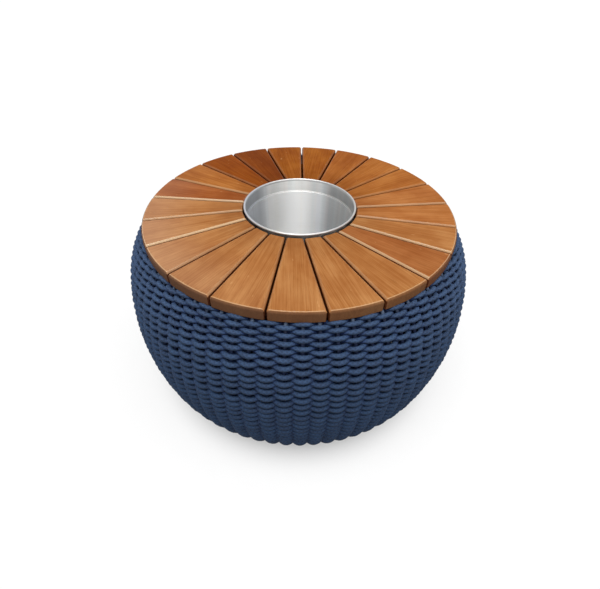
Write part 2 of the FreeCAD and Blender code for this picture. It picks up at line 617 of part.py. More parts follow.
def make_bucket():
    """The round bucket: tapered body, ledge, collar and rolled rim, in one sheet thickness."""
    body = new_body("ice_bucket")
    wall = "Sizes.bucket_wall"
    collar = "Worked.collar_r"
    side = "Worked.bucket_body_r"
    base = "Worked.bucket_floor_r"
    profile = new_sketch(body, "Profile", "XZ_Plane")
    add_polygon(profile, [
        ("0", "Worked.bucket_under"),
        (base, "Worked.bucket_under"),
        (side, "Worked.ring_under"),
        (collar, "Worked.ring_under"),
        (collar, "Worked.bead_z"),
        (f"{collar} - {wall}", "Worked.bead_z"),
        (f"{collar} - {wall}", f"Worked.ring_under + {wall}"),
        (f"{side} - {wall}", f"Worked.ring_under + {wall}"),
        (f"{base} - {wall}", f"Worked.bucket_under + {wall}"),
        ("0", f"Worked.bucket_under + {wall}"),
    ])
    revolve(body, "Sheet", profile)
    low = value("Worked.bucket_under")
    ledge = value("Worked.ring_under")
    sheet = value(wall)
    round_edges(body, "FloorOutside", lambda edge: is_ring(edge, low, value(base)), "Sizes.bucket_corner")
    round_edges(body, "FloorInside", lambda edge: is_ring(edge, low + sheet, value(base) - sheet),
                f"Sizes.bucket_corner - {wall}")
    round_edges(body, "LedgeInside", lambda edge: is_ring(edge, ledge + sheet, value(side) - sheet),
                "Sizes.ledge_round")
    round_edges(body, "LedgeOutside", lambda edge: is_ring(edge, ledge, value(collar)), "Sizes.ledge_round")
    bead = new_sketch(body, "BeadSection", "XZ_Plane")
    add_circle(bead, ("Worked.bead_r", "Worked.bead_z"), "Sizes.rim_bead / 2")
    revolve(body, "RolledRim", bead)
    return body


def is_ring(edge, height, radius):
    """Whether an edge is a full circle of a radius at a height."""
    box = edge.BoundBox
    flat = box.ZLength < NEAR and abs(box.ZMin - height) < NEAR
    return flat and abs(box.XMax - radius) < NEAR and edge.isClosed()


subparts = [make_slat(index) for index in range(int(value("Sizes.slat_count")))]
subparts.append(make_flat_ring("outer_slat_ring", "Worked.ring_under", "Sizes.ring_thick",
                               "Worked.outer_ring_r - Sizes.outer_ring_width", "Sizes.outer_ring_width",
                               "Worked.outer_screw_r"))
subparts.append(make_flat_ring("inner_slat_ring", "Worked.ring_under", "Sizes.ring_thick",
                               "Worked.inner_ring_r", "Sizes.inner_ring_width", "Worked.inner_screw_r"))
subparts.append(make_flat_ring("bucket_seat_ring", "Worked.seat_under", "Sizes.seat_thick",
                               "Worked.seat_r", "Sizes.seat_width"))
subparts.append(make_screws("outer_slat_screws", "Worked.outer_screw_r"))
subparts.append(make_screws("inner_slat_screws", "Worked.inner_screw_r"))
subparts.append(make_hoop("top_hoop", "Worked.top_hoop_z", "Worked.top_hoop_r", False))
subparts.append(make_hoop("base_hoop", "Worked.base_hoop_z", "Worked.base_hoop_r", True))
above = make_hoop_space("Worked.top_hoop_z", "Worked.top_hoop_r")
below = make_hoop_space("Worked.base_hoop_z", "Worked.base_hoop_r")
for number in range(int(value("Worked.rail_count"))):
    subparts.append(make_rib(number, above, below))
    subparts.append(make_rail(number, above))
    subparts.append(make_glide(number, below))
subparts.append(make_stakes())
subparts.append(make_rope_layer("weave_outside", "0", "Worked.outer_layer_depth",
                                "Sizes.weave_bottom_height", "Worked.outer_layer_top"))
subparts.append(make_rope_layer("weave_inside", "Worked.inner_layer_depth", "Sizes.weave_thick",
                                "Worked.inner_layer_bottom", "Worked.inner_layer_top"))
subparts.append(make_bucket())
doc.recompute()

for item in doc.Objects:
    if "Invalid" in item.State or "Error" in item.State:
        raise RuntimeError(f"{item.Label}: {item.State} {item.getStatusString()}")
for item in subparts:
    if item.Shape.isNull() or not item.Shape.isValid() or not item.Shape.Solids:
        raise RuntimeError(f"{item.Label}: no valid solid")

os.makedirs("parts", exist_ok=True)
for item in subparts:
    item.Shape.exportStep(f"parts/{item.Label}.step")
    print(item.Label, len(item.Shape.Solids), round(item.Shape.Volume))
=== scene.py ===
"""Ice bucket coffee table: the dressed model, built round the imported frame.

Metres, +Z up, the front towards -Y, the origin on the floor under the middle of the table.
The finishes come first, then the rope body, the bucket, the boards, the metal frame and the
studio, each with its own sizes.
"""

import logging
import math
from dataclasses import dataclass, field
from enum import Enum
from typing import Any, Optional, Sequence

import bpy
import numpy as np
from mathutils import Matrix

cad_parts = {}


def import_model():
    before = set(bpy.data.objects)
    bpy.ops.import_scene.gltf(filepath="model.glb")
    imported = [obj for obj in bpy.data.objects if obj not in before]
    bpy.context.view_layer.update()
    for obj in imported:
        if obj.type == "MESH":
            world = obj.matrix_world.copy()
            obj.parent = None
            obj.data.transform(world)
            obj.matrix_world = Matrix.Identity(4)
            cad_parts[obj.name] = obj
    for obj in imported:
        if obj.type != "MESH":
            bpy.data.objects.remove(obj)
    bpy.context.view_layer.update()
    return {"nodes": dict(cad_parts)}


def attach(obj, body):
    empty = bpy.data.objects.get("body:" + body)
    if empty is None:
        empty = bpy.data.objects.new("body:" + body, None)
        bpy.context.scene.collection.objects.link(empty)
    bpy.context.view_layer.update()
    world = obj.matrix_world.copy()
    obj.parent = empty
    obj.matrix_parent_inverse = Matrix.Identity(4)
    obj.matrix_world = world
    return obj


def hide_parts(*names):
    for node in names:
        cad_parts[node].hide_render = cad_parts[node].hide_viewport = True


log = logging.getLogger("ice_bucket_table")

Color = tuple[float, float, float]
Triple = tuple[float, float, float]
Span = tuple[float, float]
Socket = bpy.types.NodeSocket

WHITE: Color = (1.0, 1.0, 1.0)

# The range that most values of a noise fall in.
NOISE_SPAN: Span = (0.3, 0.7)


def linear(red: int, green: int, blue: int) -> Color:
    """A screen colour of 0 to 255 as linear light.

    Args:
        red: Red as seen on screen.
        green: Green as seen on screen.
        blue: Blue as seen on screen.

    Returns:
        The three linear values.
    """
    def one(level: int) -> float:
        """One channel, by the usual curve of screens: a short straight stretch, then a power."""
        share = level / 255
        return share / 12.92 if share <= 0.04045 else ((share + 0.055) / 1.055) ** 2.4

    return one(red), one(green), one(blue)


class Graph:
    """The nodes of a material or of the world, and short ways to add and join them.

    Attributes:
        owner: The material or world.
        tree: Its node tree.
        surface: Its plain surface shader, where it has one.
    """

    def __init__(self, owner: bpy.types.ID) -> None:
        """Open a material or world.

        Args:
            owner: The material or world.
        """
        owner.use_nodes = True
        self.owner = owner
        self.tree = owner.node_tree
        self.surface = self.tree.nodes.get("Principled BSDF")

    @classmethod
    def named(cls, name: str) -> "Graph":
        """Start a material with the plain surface shader."""
        return cls(bpy.data.materials.new(name))

    def add(self, kind: str, inputs: Optional[dict] = None, **settings: Any) -> bpy.types.Node:
        """Add a node.

        Args:
            kind: Node type, without its ShaderNode prefix.
            inputs: Socket name or number to a value or to another node's output.
            **settings: The node's own settings.

        Returns:
            The node.
        """
        node = self.tree.nodes.new("ShaderNode" + kind)
        for name, setting in settings.items():
            setattr(node, name, setting)
        for key, source in (inputs or {}).items():
            self.feed(node.inputs[key], source)
        return node

    def feed(self, socket: Socket, source: Any) -> None:
        """Give a socket a value or another node's output.

        Args:
            socket: The socket to fill.
            source: A number, three numbers or an output socket.
        """
        if isinstance(source, Socket):
            self.tree.links.new(source, socket)
        elif socket.type == "RGBA":
            socket.default_value = (*source, 1.0)
        else:
            socket.default_value = source

    def set(self, **values: Any) -> None:
        """Set the surface shader's sockets, whose names have _ for a space."""
        for name, source in values.items():
            self.feed(self.surface.inputs[name.replace("_", " ")], source)

    def math(self, operation: str, *values: Any) -> Socket:
        """One sum, by its name, of up to three numbers or outputs."""
        return self.add("Math", dict(enumerate(values)), operation=operation).outputs[0]

    def times(self, one: Any, other: Any) -> Socket:
        """The product of two numbers or outputs."""
        return self.math("MULTIPLY", one, other)

    def total(self, start: float, *parts: tuple[Socket, float]) -> Socket:
        """Add up outputs, each times its share.

        Args:
            start: The value that they are added to.
            *parts: Each output and its share.

        Returns:
            The sum's socket.
        """
        value = start
        for part, share in parts:
            value = self.math("MULTIPLY_ADD", part, share, value)
        return value

    def mix(self, share: Any, low: Any, high: Any, blend: str = "MIX") -> Socket:
        """Mix two colours.

        Args:
            share: How much of the second colour.
            low: First colour or output.
            high: Second colour or output.
            blend: Way of mixing.

        Returns:
            The mixed colour's socket.
        """
        # Of this node's many sockets, 6 and 7 take the colours and 2 gives the mixed one.
        node = self.add("Mix", data_type="RGBA", blend_type=blend)
        for place, source in ((0, share), (6, low), (7, high)):
            self.feed(node.inputs[place], source)
        return node.outputs[2]

    def tint(self, color: Any, other: Any) -> Socket:
        """One colour multiplied by another."""
        return self.mix(1.0, color, other, "MULTIPLY")

    def grey(self, level: Any) -> Socket:
        """A value as an even colour."""
        return self.add("CombineColor", {0: level, 1: level, 2: level}).outputs[0]

    def split(self, vector: Any) -> Sequence[Socket]:
        """The three parts of a vector."""
        return self.add("SeparateXYZ", {0: vector}).outputs

    def reach(self, parts: Sequence[Socket]) -> Socket:
        """Distance from the table's axis, from the parts of a place."""
        square = self.math("MULTIPLY_ADD", parts[0], parts[0], self.times(parts[1], parts[1]))
        return self.math("SQRT", square)

    def ramp(self, source: Any, low: Any, high: Any, to_low: Any = 0.0, to_high: Any = 1.0) -> Socket:
        """Carry a value from one range to another, with soft ends.

        Args:
            source: The value's socket.
            low: Start of its range.
            high: End of its range.
            to_low: What the start becomes.
            to_high: What the end becomes.

        Returns:
            The result's socket.
        """
        node = self.add("MapRange", {0: source, 1: low, 2: high, 3: to_low, 4: to_high},
                        interpolation_type="SMOOTHSTEP")
        return node.outputs[0]

    def spread(self, value: Any, to_low: Any = 0.0, to_high: Any = 1.0) -> Socket:
        """Carry a noise value from its usual range to another, with soft ends."""
        return self.ramp(value, *NOISE_SPAN, to_low, to_high)

    def between(self, value: Any, rise: Sequence, fall: Sequence) -> Socket:
        """One between the rise and the fall of a value, and nothing beyond them."""
        return self.times(self.ramp(value, *rise), self.ramp(value, *fall))

    def noise(self, vector: Any, waves: Triple, detail: float = 2.0, rough: float = 0.5) -> Socket:
        """Noise that is stretched along each axis.

        Args:
            vector: Where it is read.
            waves: Waves per metre along each axis.
            detail: Finer layers added.
            rough: How strong the finer layers are.

        Returns:
            The noise value's socket, from 0 to 1.
        """
        place = self.add("Mapping", {0: vector, 3: waves}).outputs[0]
        node = self.add("TexNoise", {0: place, "Scale": 1.0, "Detail": detail, "Roughness": rough})
        return node.outputs[0]

    def bump(self, height: Any, depth: float, strength: float) -> None:
        """Give the surface a fine relief.

        Args:
            height: The relief's socket.
            depth: Its depth in metres.
            strength: Share of it that shows.
        """
        node = self.add("Bump", {"Height": height, "Distance": depth, "Strength": strength})
        self.set(Normal=node.outputs[0])


class Tone(Enum):
    """Tones of the boards, each a darker and a lighter colour of its grain."""

    PALE = (linear(168, 104, 52), linear(206, 146, 90))
    HONEY = (linear(165, 103, 53), linear(203, 143, 89))
    ORANGE = (linear(162, 94, 42), linear(200, 132, 76))
    GOLDEN = (linear(156, 88, 32), linear(196, 126, 64))
    MEDIUM = (linear(135, 69, 12), linear(174, 102, 37))
    REDDISH = (linear(152, 89, 44), linear(189, 120, 70))
    TOFFEE = (linear(148, 80, 26), linear(190, 118, 58))
    RUSSET = (linear(138, 68, 24), linear(182, 108, 58))
    TAWNY = (linear(124, 57, 9), linear(166, 88, 26))
    DARK = (linear(108, 48, 8), linear(146, 75, 22))


@dataclass(frozen=True)
class BoardFinish:
    """Satin varnished hardwood whose grain runs along one board.

    Waves are counts per metre along, across and through the board. Tilts are parts of the surface
    direction, from 0 to 1: outward along the board, sideways across it, or upward.

    Attributes:
        tone: Colours of the board.
        azimuth: Direction of its grain.
        seed: Number that shifts the figure from board to board.
        painted_front_glint: How strongly its edge on the front side is paled with a painted highlight,
            from 0 to 1.
        shift: Shift of the figure for each step of the seed.
        broad_waves: Broad change of the figure.
        broad_share: How far it turns the colour towards the lighter one.
        fine_waves: Fine fibre.
        fine_share: How far it turns the colour towards the lighter one.
        sway_waves: Sway of the growth lines.
        sway: How far they sway, in radians.
        line_turns: Growth lines across the board, in radians per metre.
        line_share: How far they turn the colour towards the lighter one.
        least_share: Share of the lighter colour everywhere.
        patch_waves: Clouds of darker and lighter varnish.
        patch_band: Noise values where the darkest and the lightest cloud is full.
        patch_hue: Powers of their brightness in red and in blue, so that dark ones are redder.
        mottle: How far the darkest is darkened.
        lift: How far the lightest is lightened, as a share of that.
        inner: Brightness left beside the bucket, a painted shade.
        painted_inner_shade_reach: Distances from the axis where that painted shade is full and where it
            ends.
        one_side: How sharply the boards towards one direction stand out, as a power.
        painted_sheen: How strong the pale painted sheen is on the board that has most of it.
        painted_sheen_from: Direction of that board.
        painted_sheen_reach: Distances from the axis where the painted sheen begins and is full.
        painted_sheen_color: Colour of the painted sheen.
        pore_waves: Open pores.
        pore_band: Noise values where a pore begins and is full.
        pore_share: How far a pore is darkened.
        pore_level: Brightness of a pore's colour against the darker one.
        fleck_waves: Pale flecks.
        fleck_band: Noise values where a fleck begins and is full.
        fleck_share: How far a fleck is lightened.
        fleck_color: Colour of the flecks.
        outer_tilt: Outward tilts where the outer end begins and is full.
        foot_tilt: Upward tilts where the upper edge's rounding starts, inside and at the outer end.
        end_tilt: Outward tilts where end grain begins and is full.
        end_fade: Upward tilt over which it fades into the rounding.
        end_waves: Speckle of the end grain.
        end_band: Noise values where its darkest and lightest part is full.
        end_levels: Brightness of those parts.
        end_share: How far the end grain takes its colour.
        end_color: Colour of the end grain.
        painted_end_light: How much less of the end colour is taken on the board whose end is most lit,
            as painted light.
        painted_end_light_from: Direction of that board.
        joint_tilt: Sideways tilts where the face of a joint begins and is full.
        joint_rise: Upward tilts where it ends and is full.
        painted_joint_shade_share: How far that face is darkened with painted shade.
        painted_joint_shade_color: Colour of the painted shade down in the joints.
        ease_rise: Upward tilt over which the rounded edge begins.
        ease_crest: Upward tilts where it ends and is full.
        painted_ease_highlight_share: How far every rounded edge is paled, a painted highlight.
        painted_highlight_color: Colour of the painted highlights on the edges.
        painted_front_glint_tilt: Sideways tilts where that painted highlight begins and is full.
        painted_front_glint_facing: Tilts along Y where it begins and is full, so that it faces the
            front.
        painted_front_glint_share: How far a full painted highlight pales the edge.
        arris_foot: Upward tilts where the painted highlight line of the outer edge begins and is full.
        arris_crest: Upward tilts where it ends and is full.
        painted_arris_highlight_share: How far that painted highlight line is paled.
        roughness: Roughness of the varnish in the hollows and on the crests of its fibre.
        rough_band: Fibre values where the first and the second is full.
        gloss: Mirror level of the varnish.
        edge_coat: Clear coat on the edges, without the painted highlight, and what a full one adds.
        relief: Depth of the fibre.
        relief_share: Share of the relief that shows.
        pore_sink: Depth of a pore against the fibre.
    """

    tone: Tone
    azimuth: float
    seed: int
    painted_front_glint: float
    shift: Triple = (0.37, 1.73, 0.91)
    broad_waves: Triple = (2.5, 26, 26)
    broad_share: float = 0.38
    fine_waves: Triple = (9, 430, 430)
    fine_share: float = 0.44
    sway_waves: Triple = (3.2, 9, 9)
    sway: float = 26.0
    line_turns: float = 620.0
    line_share: float = 0.04
    least_share: float = 0.09
    patch_waves: Triple = (11, 17, 17)
    patch_band: Span = (0.32, 0.68)
    patch_hue: Span = (0.6, 1.4)
    mottle: float = 0.26
    lift: float = 0.4
    inner: float = 0.86
    painted_inner_shade_reach: Span = (0.112, 0.20)
    one_side: int = 4
    painted_sheen: float = 0.24
    painted_sheen_from: float = math.radians(-157.0)
    painted_sheen_reach: Span = (0.18, 0.30)
    painted_sheen_color: Color = linear(222, 190, 166)
    pore_waves: Triple = (38, 1500, 1500)
    pore_band: Span = (0.60, 0.72)
    pore_share: float = 0.30
    pore_level: float = 0.35
    fleck_waves: Triple = (55, 170, 170)
    fleck_band: Span = (0.745, 0.80)
    fleck_share: float = 0.40
    fleck_color: Color = linear(222, 168, 112)
    outer_tilt: Span = (0.15, 0.35)
    foot_tilt: Span = (0.30, 0.76)
    end_tilt: Span = (0.30, 0.55)
    end_fade: float = 0.08
    end_waves: Triple = (300, 300, 90)
    end_band: Span = (0.25, 0.75)
    end_levels: Span = (0.85, 1.1)
    end_share: float = 0.85
    end_color: Color = linear(110, 79, 61)
    painted_end_light: float = 0.24
    painted_end_light_from: float = math.radians(-48.0)
    joint_tilt: Span = (0.50, 0.80)
    joint_rise: Span = (0.45, 0.15)
    painted_joint_shade_share: float = 0.80
    painted_joint_shade_color: Color = linear(78, 26, 14)
    ease_rise: float = 0.12
    ease_crest: Span = (0.985, 0.92)
    painted_ease_highlight_share: float = 0.04
    painted_highlight_color: Color = linear(231, 199, 154)
    painted_front_glint_tilt: Span = (0.08, 0.25)
    painted_front_glint_facing: Span = (-0.03, -0.20)
    painted_front_glint_share: float = 0.66
    arris_foot: Span = (0.80, 0.88)
    arris_crest: Span = (0.97, 0.93)
    painted_arris_highlight_share: float = 0.42
    roughness: Span = (0.46, 0.34)
    rough_band: Span = (0.2, 0.8)
    gloss: float = 0.012
    edge_coat: Span = (0.2, 0.5)
    relief: float = 0.00012
    relief_share: float = 0.5
    pore_sink: float = -0.6

    def make(self, name: str) -> bpy.types.Material:
        """Build the material.

        Args:
            name: Name of the material.

        Returns:
            The material.
        """
        graph = Graph.named(name)
        where = graph.add("TexCoord").outputs
        turn = (0, 0, -self.azimuth)
        shift = tuple(step * self.seed for step in self.shift)
        board = graph.add("Mapping", {0: where["Object"], 1: shift, 2: turn}).outputs[0]
        facing = graph.add("Mapping", {0: where["Normal"], 2: turn}, vector_type="VECTOR").outputs[0]
        toward = graph.split(where["Normal"])[1]
        fine = graph.noise(board, self.fine_waves, detail=3, rough=0.6)
        pores = graph.ramp(graph.noise(board, self.pore_waves, detail=1), *self.pore_band)
        color = self.painted_shade_and_sheen(graph, where["Object"], self.figure(graph, board, fine))
        color = self.speckled(graph, board, pores, color)
        color, eased = self.edged(graph, board, graph.split(facing), toward, color)
        plain, glint = self.edge_coat
        graph.set(Base_Color=color, Roughness=graph.ramp(fine, *self.rough_band, *self.roughness),
                  IOR=1.45, Specular_IOR_Level=self.gloss, Coat_Roughness=0.15, Coat_IOR=1.5,
                  Coat_Weight=graph.times(eased, plain + glint * self.painted_front_glint))
        height = graph.math("MULTIPLY_ADD", pores, self.pore_sink, fine)
        graph.bump(height, self.relief, self.relief_share)
        return graph.owner

    def near(self, direction: float) -> float:
        """How near the board lies to a direction, from 0 to 1."""
        return max(0.0, math.cos(self.azimuth - direction)) ** self.one_side

    def figure(self, graph: Graph, board: Socket, fine: Socket) -> Socket:
        """Colour the grain and the clouds of varnish over it.

        Args:
            graph: The material's graph.
            board: Place along, across and through the board.
            fine: The fine fibre.

        Returns:
            The colour.
        """
        broad = graph.noise(board, self.broad_waves)
        sway = graph.times(graph.noise(board, self.sway_waves, detail=1), self.sway)
        across = graph.split(board)[1]
        lines = graph.math("SINE", graph.math("MULTIPLY_ADD", across, self.line_turns, sway))
        share = graph.total(self.least_share, (graph.spread(broad), self.broad_share),
                            (graph.spread(fine), self.fine_share), (lines, self.line_share))
        patch = graph.ramp(graph.noise(board, self.patch_waves, detail=3, rough=0.6), *self.patch_band,
                           1.0 - self.mottle, 1.0 + self.lift * self.mottle)
        red, blue = (graph.math("POWER", patch, power) for power in self.patch_hue)
        cloud = graph.add("CombineColor", {0: red, 1: patch, 2: blue}).outputs[0]
        return graph.tint(graph.mix(share, *self.tone.value), cloud)

    def painted_shade_and_sheen(self, graph: Graph, spot: Socket, color: Socket) -> Socket:
        """Paint shade on the wood beside the bucket and a pale painted sheen towards the outer end.

        Args:
            graph: The material's graph.
            spot: Place on the table.
            color: Colour so far.

        Returns:
            The colour.
        """
        reach = graph.reach(graph.split(spot))
        # Painted shade: the wood is darker beside the bucket.
        level = graph.ramp(reach, *self.painted_inner_shade_reach, self.inner, 1.0)
        # Painted sheen: a pale haze on the outer ends of the boards towards one side.
        most = self.painted_sheen * self.near(self.painted_sheen_from)
        painted_sheen = graph.times(graph.ramp(reach, *self.painted_sheen_reach), most)
        return graph.mix(painted_sheen, graph.tint(color, graph.grey(level)), self.painted_sheen_color)

    def speckled(self, graph: Graph, board: Socket, pores: Socket, color: Socket) -> Socket:
        """Add the pores and the pale flecks.

        Args:
            graph: The material's graph.
            board: Place along, across and through the board.
            pores: Where the pores are.
            color: Colour so far.

        Returns:
            The colour.
        """
        deep = tuple(self.pore_level * part for part in self.tone.value[0])
        color = graph.mix(graph.times(pores, self.pore_share), color, deep)
        flecks = graph.ramp(graph.noise(board, self.fleck_waves, detail=1), *self.fleck_band)
        return graph.mix(graph.times(flecks, self.fleck_share), color, self.fleck_color)

    def edged(self, graph: Graph, board: Socket, facing: Sequence[Socket], toward: Socket,
              color: Socket) -> tuple[Socket, Socket]:
        """Colour the end grain, paint shade on the faces of the joints and paint highlights on the
        rounded edges.

        Args:
            graph: The material's graph.
            board: Place along, across and through the board.
            facing: Surface direction along, across and up.
            toward: Surface direction along Y.
            color: Colour so far.

        Returns:
            The colour, and where the rounded edges are.
        """
        outward = graph.ramp(facing[0], *self.outer_tilt)
        low, high = self.foot_tilt
        foot = graph.math("MULTIPLY_ADD", outward, high - low, low)
        color = self.ended(graph, board, facing, foot, color)
        across = graph.math("ABSOLUTE", facing[1])
        upright = graph.ramp(facing[2], *self.joint_rise)
        # Painted shade on the faces of the joints between the boards.
        joint = graph.times(graph.ramp(across, *self.joint_tilt), upright)
        color = graph.mix(graph.times(joint, self.painted_joint_shade_share), color, self.painted_joint_shade_color)
        # Painted highlight: a thin pale line along the outer top edge.
        arris = graph.between(facing[2], self.arris_foot, self.arris_crest)
        arris = graph.times(graph.times(outward, self.painted_arris_highlight_share), arris)
        color = graph.mix(arris, color, self.painted_highlight_color)
        rise = (foot, graph.math("ADD", foot, self.ease_rise))
        eased = graph.between(facing[2], rise, self.ease_crest)
        # Painted highlight on the rounded edge that faces the front.
        glint = graph.times(graph.ramp(across, *self.painted_front_glint_tilt), graph.ramp(toward, *self.painted_front_glint_facing))
        # Painted highlight: every rounded edge is paled a little, the one facing the front more.
        painted_edge_light = graph.math("MULTIPLY_ADD", glint, self.painted_front_glint * self.painted_front_glint_share, self.painted_ease_highlight_share)
        return graph.mix(graph.times(eased, painted_edge_light), color, self.painted_highlight_color), eased

    def ended(self, graph: Graph, board: Socket, facing: Sequence[Socket], foot: Socket,
              color: Socket) -> Socket:
        """Colour the end grain, with painted light on the ends towards one side.

        Args:
            graph: The material's graph.
            board: Place along, across and through the board.
            facing: Surface direction along, across and up.
            foot: Upward tilt where the rounding of the upper edge starts.
            color: Colour so far.

        Returns:
            The colour.
        """
        end = graph.times(graph.ramp(graph.math("ABSOLUTE", facing[0]), *self.end_tilt),
                          graph.ramp(facing[2], graph.math("ADD", foot, self.end_fade), foot))
        speckle = graph.ramp(graph.noise(board, self.end_waves), *self.end_band, *self.end_levels)
        # Painted light: end faces towards one direction take less of the dark end colour, so they look
        # lit.
        share = self.end_share - self.painted_end_light * self.near(self.painted_end_light_from)
        speckled = graph.tint(color, graph.grey(speckle))
        return graph.mix(end, color, graph.mix(share, speckled, self.end_color))


@dataclass(frozen=True)
class RopeFinish:
    """Matt braided rope, read along and round its own length.

    Attributes:
        low: Colour down between the strands, partly painted shade in the braid's creases and partly its
            darker random tone.
        high: Colour on the strands.
        strand: Length of one braid repeat.
        starts: Strands that lean each way.
        strand_span: Values of the braid's waves where a strand begins and is full.
        strand_share: How far the strands turn the colour towards the higher one.
        wander_waves: Slow change of the colour, per metre.
        wander_share: How far it turns the colour.
        fibre_waves: Fine fibre, per metre.
        fibre_share: How far it turns the colour.
        least_share: Share of the higher colour everywhere.
        painted_crevice_shade: Painted shade left where the rope passes behind the rods.
        painted_crevice_shade_span: How far in front of the rods that painted shade is full and where it
            ends.
        foot: Tint left towards the floor, a painted shade that makes the rope darker and bluer at the
            foot of the body.
        painted_floor_shade_span: Heights where that painted shade is full and where it ends.
        painted_top_light: Brightness of the rope's lower and upper side, a painted light from above.
        painted_top_light_span: Upward tilts where the first and the second are full.
        roughness: Roughness of the rope.
        sheen: How strong its soft sheen is.
        sheen_color: Colour of the sheen.
        relief: Depth of the braid.
        relief_share: Share of the relief that shows.
        fibre_relief: Depth of the fibre against the braid.
    """

    low: Color = linear(21, 35, 62)
    high: Color = linear(58, 84, 120)
    strand: float = 0.0062
    starts: float = 4.0
    strand_span: Span = (-0.4, 1.0)
    strand_share: float = 0.40
    wander_waves: Triple = (38, 38, 60)
    wander_share: float = 0.30
    fibre_waves: Triple = (1500, 1500, 1500)
    fibre_share: float = 0.14
    least_share: float = 0.12
    painted_crevice_shade: Color = (0.38, 0.54, 0.98)
    painted_crevice_shade_span: Span = (-0.5, 0.8)
    foot: Color = (0.44, 0.605, 0.685)
    painted_floor_shade_span: Span = (0.20, 0.40)
    painted_top_light: Span = (0.56, 1.08)
    painted_top_light_span: Span = (-0.5, 0.7)
    roughness: float = 0.78
    sheen: float = 0.08
    sheen_color: Color = linear(130, 160, 205)
    relief: float = 0.00024
    relief_share: float = 0.6
    fibre_relief: float = 0.25

    def make(self) -> bpy.types.Material:
        """Build the material.

        Returns:
            The material.
        """
        graph = Graph.named("navy_braided_rope")
        where = graph.add("TexCoord").outputs
        braid = graph.split(graph.add("UVMap", uv_map="braid").outputs[0])
        along = graph.times(braid[0], math.tau / self.strand)
        around = graph.times(braid[1], math.tau * self.starts)
        one = graph.math("SINE", graph.math("ADD", along, around))
        other = graph.math("SINE", graph.math("SUBTRACT", along, around))
        strands = graph.ramp(graph.math("MAXIMUM", one, other), *self.strand_span)
        wander = graph.spread(graph.noise(where["Object"], self.wander_waves))
        fibre = graph.noise(where["Object"], self.fibre_waves)
        share = graph.total(self.least_share, (fibre, self.fibre_share), (wander, self.wander_share),
                            (strands, self.strand_share))
        dive = graph.add("Attribute", attribute_name="dive").outputs["Fac"]
        height = graph.split(where["Object"])[2]
        upward = graph.split(where["Normal"])[2]
        # Darker between the braid's strands: partly painted shade in its creases, partly random tone.
        color = graph.mix(share, self.low, self.high)
        # Painted shade: the rope is darker where it passes behind the rods.
        color = graph.tint(color, graph.mix(graph.ramp(dive, *self.painted_crevice_shade_span), self.painted_crevice_shade, WHITE))
        # Painted shade: the rope is darker and bluer towards the floor.
        color = graph.tint(color, graph.mix(graph.ramp(height, *self.painted_floor_shade_span), self.foot, WHITE))
        # Painted light: the rope's upper side is lighter and its underside darker.
        color = graph.tint(color, graph.grey(graph.ramp(upward, *self.painted_top_light_span, *self.painted_top_light)))
        graph.set(Base_Color=color, Roughness=self.roughness, Sheen_Weight=self.sheen,
                  Sheen_Roughness=0.5, Sheen_Tint=self.sheen_color)
        relief = graph.math("MULTIPLY_ADD", fibre, self.fibre_relief, strands)
        graph.bump(relief, self.relief, self.relief_share)
        return graph.owner


@dataclass(frozen=True)
class SteelFinish:
    """Spun and brushed steel whose fine lines run round the table's axis.

    Attributes:
        bright: Colour of the metal.
        roughness: Middle of its roughness.
        grain: How much the brushing stretches a highlight.
        dim: Brightness of the darker lines against the metal.
        line_waves: Brushed lines round the axis, outward and upward, per radian and per metre.
        cloud_waves: Broad clouds, per metre.
        cloud_share: How far they set the roughness, where the lines do the rest.
        spread: Least and most roughness against the middle.
        relief: Depth of the brushed lines.
        relief_share: Share of the relief that shows.
    """

    bright: Color = linear(240, 240, 238)
    roughness: float = 0.42
    grain: float = 0.75
    dim: float = 0.90
    line_waves: Triple = (1.6, 2600, 2600)
    cloud_waves: Triple = (18, 18, 18)
    cloud_share: float = 0.4
    spread: Span = (-0.05, 0.07)
    relief: float = 0.00003
    relief_share: float = 0.5

    def make(self, name: str) -> bpy.types.Material:
        """Build the material.

        Args:
            name: Name of the material.

        Returns:
            The material.
        """
        graph = Graph.named(name)
        spot = graph.add("TexCoord").outputs["Object"]
        parts = graph.split(spot)
        turn = graph.math("ARCTAN2", parts[1], parts[0])
        ring = graph.add("CombineXYZ", {0: turn, 1: graph.reach(parts), 2: parts[2]}).outputs[0]
        lines = graph.noise(ring, self.line_waves, detail=3, rough=0.7)
        clouds = graph.noise(spot, self.cloud_waves)
        dimmed = tuple(self.dim * part for part in self.bright)
        rough = graph.total(0.0, (clouds, self.cloud_share), (lines, 1.0 - self.cloud_share))
        least, most = (self.roughness + step for step in self.spread)
        tangent = graph.add("Tangent", direction_type="RADIAL", axis="Z").outputs[0]
        graph.set(Base_Color=graph.mix(graph.spread(lines), dimmed, self.bright), Metallic=1.0,
                  Roughness=graph.spread(rough, least, most), Anisotropic=self.grain,
                  Anisotropic_Rotation=0.25, Tangent=tangent)
        graph.bump(lines, self.relief, self.relief_share)
        return graph.owner


